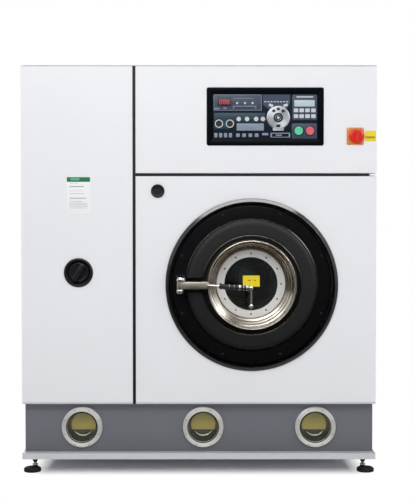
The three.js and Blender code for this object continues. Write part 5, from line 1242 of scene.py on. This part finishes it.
def doorArm():
    # a barrel on the pin, a chamfered bar over the ring, a foot welded to the dish and a rod for the grip
    rise, thick, edge, foot, r = (armSize[key] for key in ("rise", "thickness", "edge", "foot", "rod"))
    half = thick / 2
    bore, outer = armSize["barrel"]
    profile = [(bore, -rise / 2), (outer, -rise / 2), (outer, rise / 2), (bore, rise / 2)]
    barrel = lathed(profile, 1.2, (pinX, pinDepth, pinZ), False, "up", 64)
    x0, x1 = pinX + 9, rimX - 3
    bar = slab(x1 - x0, rise, 5, -half, half, edge, ((x0 + x1) / 2, pinDepth, pinZ))
    taper = slab(26, 20, 6, 1 - half, half - 1, edge, (x1 + 1, pinDepth, pinZ))
    plate = slab(foot, rise, 3, pinDepth + 3, -16.4, 1.6, (rimX - foot / 2, 0, pinZ))
    make("doorArm", joined(barrel, bar, taper, plate), "armSteel", "loading_door", "door_arm")
    end = edges("door_arm")[1][0]
    rod = [(0, rimX), (r, rimX), (r, end), (0, end)]
    rod = lathed(rod, [0, 1.5, 1.5, 0], armAxis, True, "side", 32, 3)
    make("gripRod", drooped(rod), "rodSteel", "loading_door")
    line = [(rimX - 2, -47, z) for z in np.linspace(pinZ - 15, pinZ + 15, 24)]
    make("armWeld", tube(line, 2.6 + 0.5 * np.sin(np.arange(24) * 2.1), 10), "zincPlate", "loading_door")


def doorGrip():
    # ribs that swell and thin along the grip, ridges round it, and plated collars on it
    start, length, full = rimX + armSize["inset"], armSize["gripLength"], armSize["grip"]
    travel = np.linspace(0, length, 150)
    share = travel / length
    wave = np.clip(np.sin(share * armSize["ribs"] * 2 * np.pi - 1.2) * 1.6, -1, 0.2)
    ends = (share < 0.03) | (share > 0.97)
    radius = np.where(ends, full - 2.6, full - 0.2 + armSize["ribDepth"] * wave)
    turn = np.arange(72) * 2 * np.pi / 72
    ring = radius[:, None] + 0.35 * np.cos(turn * armSize["ridges"])[None]
    along = np.broadcast_to((start + travel)[:, None], ring.shape)
    rings = np.stack([along, pinDepth + ring * np.cos(turn), pinZ + ring * np.sin(turn)], -1)
    make("doorGrip", drooped(lofted(rings)), "gripRubber", "loading_door", "door_grip")
    collars = []
    for share, width in armSize["collars"]:
        low = start + length * share
        profile = [(10.5, low), (13, low), (13, low + width), (10.5, low + width)]
        collars.append(lathed(profile, 0.8, armAxis, False, "side", 48))
    make("gripCollars", drooped(joined(*collars)), "sheetSteel", "loading_door")


def releaseLever():
    # a hub, a thin rod and a ball
    size = {"hub": 9, "hubHalf": 3.5, "rod": 4.2, "ball": 9.5}
    (_, _, low), (_, _, high) = edges("release_lever")
    x, depth, _ = middle("release_lever")
    r, half, ball = size["hub"], size["hubHalf"], size["ball"]
    pivot, ballZ = high - r, low + ball
    profile = [(0, depth - half), (r, depth - half), (r, depth + half), (0, depth + half)]
    hub = lathed(profile, [0, 1.2, 1.2, 0], (x, 0, pivot), True, "front", 40, 3)
    rod = tube([(x, depth, z) for z in np.linspace(pivot - 6, ballZ + 4, 6)], size["rod"], 24)
    s = np.radians(np.linspace(-90, 90, 19))
    outline = np.stack([ball * np.cos(s), ballZ + ball * np.sin(s)], -1)
    shape = joined(hub, rod, turned(outline, (x, depth, 0), "up", 32, False))
    make("releaseLever", shape, "rodSteel", "release_lever", "release_lever")


trimRing()
frontRing()
coverRing()
portSeal()
doorDish()
window()
sticker()
hingeFork()
hingePin()
doorArm()
doorGrip()
releaseLever()
print("loading port and door made")

# Inside: tub, drum, still, filter and pump. Radii, depths and heights

tubSize = {
    "outer": 454, "wall": 4, "front": 150, "back": 594, "hole": 42, "beads": (292, 362, 432), "bead": 5,
    "beadWidth": 18, "flange": 28, "bolts": 16,
}
drumSize = {
    "outer": 430, "wall": 3, "mouth": 216, "front": 162, "cone": 175, "back": 560, "hub": 70, "shaft": 30,
    "shaftEnd": 862, "columns": 112, "rows": 15, "hole": 0.27,
    "lifter": {"rise": 72, "base": 96, "tip": 34},
}


def tub():
    # a neck, a shell with three raised beads and an open rim at the back, and a bolted flange
    outer, wall, front, back, hole = (tubSize[key] for key in ("outer", "wall", "front", "back", "hole"))
    neckIn, neckOut = portSize["neck"]
    lip = neckOut + 3
    neck = [(neckIn, -6), (lip, -6), (lip, -1), (neckOut, 1), (neckOut, front), (neckIn, front)]
    make("tubNeck", lathed(neck, [1, 1, 1, 1, 0.2, 0.2], port, steps=160, bends=3), "neckPaint")
    s = np.linspace(0, 1, 9)
    beads = [
        pair for at in tubSize["beads"]
        for pair in zip(outer + tubSize["bead"] * np.sin(np.pi * s), at + tubSize["beadWidth"] * (s - 0.5))
    ]
    shell = [
        (neckIn, front), (outer - 14, front), (outer - 4, front + 3), (outer, front + 14), *beads,
        (outer, back - 14), (outer - 4, back - 3), (outer - 14, back), (hole, back), (hole, back - wall),
        (outer - wall, back - wall), (outer - wall, front + wall), (neckIn, front + wall),
    ]
    make("tub", turned(shell, port, steps=160), "tubSteel", stands="tub", sharp=40)
    reach, near = neckOut + tubSize["flange"], front - 22
    flange = [(neckOut + 0.3, near), (reach, near), (reach, near + 8), (neckOut + 0.3, near + 8)]
    bolts = screwRing(screwHead(9, 7, steps=6), tubSize["bolts"], neckOut + 17, port + [0, near, 0])
    make("tubFlange", joined(lathed(flange, 1, port, steps=128), bolts), "castGreyPaint")


def drumWall():
    # each cell of the rolled sheet is a square with an octagonal hole; eight faces join the two outlines
    columns, rows, cone = drumSize["columns"], drumSize["rows"], drumSize["cone"]
    corner = np.array([[-1, -1], [0, -1], [1, -1], [1, 0], [1, 1], [0, 1], [-1, 1], [-1, 0]]) * 0.5
    turn = np.radians(np.array([225, 270, 315, 0, 45, 90, 135, 180]))
    ring = np.stack([np.cos(turn), np.sin(turn)], -1) * drumSize["hole"]
    cells = np.stack(np.meshgrid(np.arange(columns), np.arange(rows), indexing="ij"), -1).reshape(-1, 1, 2)
    at = cells + 0.5 + np.concatenate([corner, ring])[None]
    angle = at[..., 0] * 2 * np.pi / columns
    depth = cone + at[..., 1] * (drumSize["back"] - cone) / rows
    radius = drumSize["outer"]
    points = np.stack([radius * np.cos(angle), depth, radius * np.sin(angle)], -1).reshape(-1, 3) + port
    k = np.arange(8)
    local = np.stack([k, (k + 1) % 8, 8 + (k + 1) % 8, 8 + k], -1)
    faces = (np.arange(columns * rows)[:, None, None] * 16 + local[None]).reshape(-1, 4).tolist()
    sheet = make("drumWall", (points, faces), "drumSteel", "drum", "drum")
    thicken = sheet.modifiers.new("sheet", "SOLIDIFY")
    thicken.thickness = drumSize["wall"] / 1000
    thicken.offset = -1


def drumEnds():
    # a lipped front cone, and a pressed back with its hub and shaft
    r, mouth, at, cone, back = (drumSize[key] for key in ("outer", "mouth", "front", "cone", "back"))
    hub, shaft, end = drumSize["hub"], drumSize["shaft"], drumSize["shaftEnd"]
    front = [
        (mouth, at), (mouth + 7, at - 2), (mouth + 10, at + 2), (mouth + 60, at + 6), (r - 30, at + 6),
        (r - 8, cone - 2), (r, cone + 3), (r, cone + 9), (r - 3, cone + 9), (r - 3, cone + 4),
        (r - 12, cone + 1), (r - 34, at + 9), (mouth + 56, at + 9), (mouth + 8, at + 7), (mouth, at + 8),
    ]
    reach = [1, 2, 1, 6, 6, 4, 2, 0.2, 0.2, 1, 3, 5, 5, 2, 2]
    make("drumFront", lathed(front, reach, port, steps=160), "drumSteel", "drum")
    plate = [
        (0, back - 14), (hub - 14, back - 14), (hub, back - 4), (150, back - 4), (162, back - 10),
        (262, back - 10), (274, back - 4), (r - 3, back - 4), (r, back), (r, back + 4), (hub, back + 4),
        (hub, back + 24), (shaft, back + 24), (shaft, end), (0, end),
    ]
    make("drumBack", turned(plate, port, closed=False, steps=128), "drumSteel", "drum", sharp=40)
    make("drumHubBolts", screwRing(screwHead(6, 4), 8, 46, port + [0, back - 14, 0]), "zincPlate", "drum")


def lifters():
    # a hollow ridge: its section is a rounded triangle, carried from the front of the drum to its back
    r, size = drumSize["outer"] - drumSize["wall"], drumSize["lifter"]
    base, tip, rise = size["base"] / 2, size["tip"] / 2, size["rise"]
    section = softLoop([(-base, 3), (-tip, rise), (tip, rise), (base, 3)], [2, 14, 14, 2], 6)
    depths = drumSize["cone"] + 12, drumSize["cone"] + 24, drumSize["back"] - 30, drumSize["back"] - 16
    rings = [
        np.stack([section[:, 0], np.full(len(section), depth), section[:, 1] * shrink - r + 4], -1)
        for depth, shrink in zip(depths, (0.55, 1, 1, 0.55))
    ]
    ridge = lofted(np.array(rings))
    shape = joined(*[leaned(ridge, 120 * k) for k in range(3)])
    make("drumLifters", moved(shape, port), "drumSteel", "drum")


def still():
    # an upright vessel on a skirt, with a bolted neck on top and a clamped manhole in front
    size = {"depth": 790, "radius": 145, "skirt": 110, "rise": 730, "manhole": 640, "clamps": 62}
    centre = middle("still_vessel", (1, 0, 0)) + [0, size["depth"], 0]
    low, r = edges("still_vessel")[0][2], size["radius"]
    shell, top = low + size["skirt"], low + size["rise"]
    body = [
        (0, shell), (r * 0.7, shell + 4), (r - 9, shell + 30), (r - 9, low), (r, low), (r, low + 96),
        (r + 5, low + 104), (r + 5, low + 116), (r, low + 124), (r, top - 46), (r * 0.97, top - 26),
        (r * 0.82, top - 10), (r * 0.45, top), (34, top + 4), (34, top + 48), (54, top + 50),
        (54, top + 56), (34, top + 57), (54, top + 58), (54, top + 64), (0, top + 64),
    ]
    reach = [0, 8, 3, 1, 1, 4, 2, 2, 4, 20, 12, 16, 10, 3, 2, 1, 1, 0.5, 1, 1, 0]
    make("stillVessel", lathed(body, reach, centre, True, "up", 96), "sheetSteel", stands="still_vessel")
    at = np.array([centre[0], 0, size["manhole"]])
    neck = lathed([(0, 600), (66, 600), (66, 690), (0, 690)], [0, 2, 1, 0], at, True, bends=2)
    profile = [(0, 582), (50, 584), (66, 588), (78, 590), (78, 608), (0, 608)]
    cover = lathed(profile, [0, 6, 5, 2, 2, 0], at, True, bends=3)
    make("stillManhole", joined(neck, cover), "coverPlate")
    clamp = slab(14, 40, 6, 566, 590, 3, at)
    make("stillClamps", repeated(clamp, onCircle(4, size["clamps"])), "blackPlastic")
    bolts = onCircle(8, 45)[:, [0, 2, 1]] + centre + [0, 0, top + 50]
    make("stillBolts", repeated(screwHead(5, 5, "up", 6), bolts), "zincPlate")


def carbonFilter():
    # a domed vessel on a narrower foot, with a clamp ring and an inlet flange
    size = {"depth": 540, "radius": 84, "inlet": 30}
    centre = middle("solvent_filter", (1, 0, 0)) + [0, size["depth"], 0]
    low, high = (corner[2] for corner in edges("solvent_filter"))
    r, top = size["radius"], high - 4
    body = [
        (0, low), (r * 0.8, low), (r * 0.8, low + 90), (r, low + 120), (r, top - 88), (r + 4, top - 86),
        (r + 12, top - 84), (r + 12, top - 66), (r + 4, top - 62), (r, top - 60), (r * 0.97, top - 40),
        (r * 0.8, top - 14), (r * 0.5, top), (0, top + 4),
    ]
    reach = [0, 3, 20, 20, 2, 1, 3, 3, 1, 4, 10, 10, 10, 0]
    shape = lathed(body, reach, centre, True, "up", 80)
    make("solventFilter", shape, "sheetSteel", stands="solvent_filter")
    r = size["inlet"]
    at = np.array([centre[0], 0, edges("filter_pipe")[1][2] - r])
    profile = [(0, 442), (r, 442), (r, 452), (18, 453), (18, 470), (0, 470)]
    inlet = lathed(profile, [0, 1, 1, 1, 1, 0], at, True, "front", 40, 2)
    bolts = screwRing(screwHead(3.4, 4, steps=6), 4, 23, at + [0, 432, 0], 45)
    make("filterInlet", joined(inlet, bolts), "zincPlate")


def solventPump():
    # a volute, a finned motor behind it, a foot with its web, and an outlet that points up
    size = {"height": 410, "fins": (332.0, 440.0, 9.0), "outlet": (36, 289), "mouth": 22}
    centre = middle("solvent_pump", (1, 0, 0)) + [0, 0, size["height"]]
    x, base = centre[0], edges("solvent_pump")[0][2]
    profile = [(0, 260), (26, 260), (30, 266), (62, 266), (72, 274), (72, 310), (64, 318), (0, 318)]
    volute = lathed(profile, [0, 2, 2, 4, 6, 6, 4, 0], centre, True, bends=3)
    fin = ((56, 0), (56, 3), (50, 3.2), (50, 8.8))
    fins = [(r, d + s) for d in np.arange(*size["fins"]) for r, s in fin]
    motor = [(0, 316), (50, 316), (50, 330), *fins, (55, 442), (55, 462), (50, 468), (0, 468)]
    foot = slab(120, 190, 8, base, base + 11, 1.5, (x, 364, 0), "up")
    web = slab(56, 160, 6, base + 9, 370, 3, (x, 363, 0), "up")
    r, (offset, depth) = size["mouth"], size["outlet"]
    mouth = [(0, 405), (r, 405), (r, 498), (30, 499), (30, 505.6), (0, 505.6)]
    outlet = lathed(mouth, [0, 1, 1, 1, 1, 0], (x + offset, depth, 0), True, "up", 40, 2)
    shape = joined(volute, turned(motor, centre, closed=False, steps=64), foot, web, outlet)
    make("solventPump", shape, "motorPaint", stands="solvent_pump", sharp=36)


def filterPipe():
    # a bent pipe from the pump's outlet to the filter's inlet, with a flange at each end
    size = {"flange": 30, "pipe": 16, "start": 289.0, "bend": 30}
    low, high = edges("filter_pipe")
    r, d0, z0 = size["flange"], size["start"], low[2]
    x0, x1, d1, z1 = low[0] + r, high[0] - r, high[1], high[2] - r
    line = [(x0, d0, z0 + 1), (x0, d0, z1), (x1 - 4, d1 - 70, z1), (x1, d1 - 36, z1), (x1, d1 - 1, z1)]
    pipe = tube(curveLine(line, size["bend"], 8), size["pipe"], 24, (0.31, 0.5, 0.11))
    lower = [(12, z0), (r, z0), (r, z0 + 9), (20, z0 + 10), (12, z0 + 14)]
    upper = [(12, d1 - 14), (20, d1 - 10), (r, d1 - 9.5), (r, d1), (12, d1)]
    lower = lathed(lower, 1, (x0, d0, 0), False, "up", 40, 2)
    upper = lathed(upper, 1, (x1, 0, z1), False, "front", 40, 2)
    make("filterPipe", joined(pipe, lower, upper), "sheetSteel", stands="filter_pipe")


tub()
drumWall()
drumEnds()
lifters()
still()
carbonFilter()
solventPump()
filterPipe()
print("inside made")
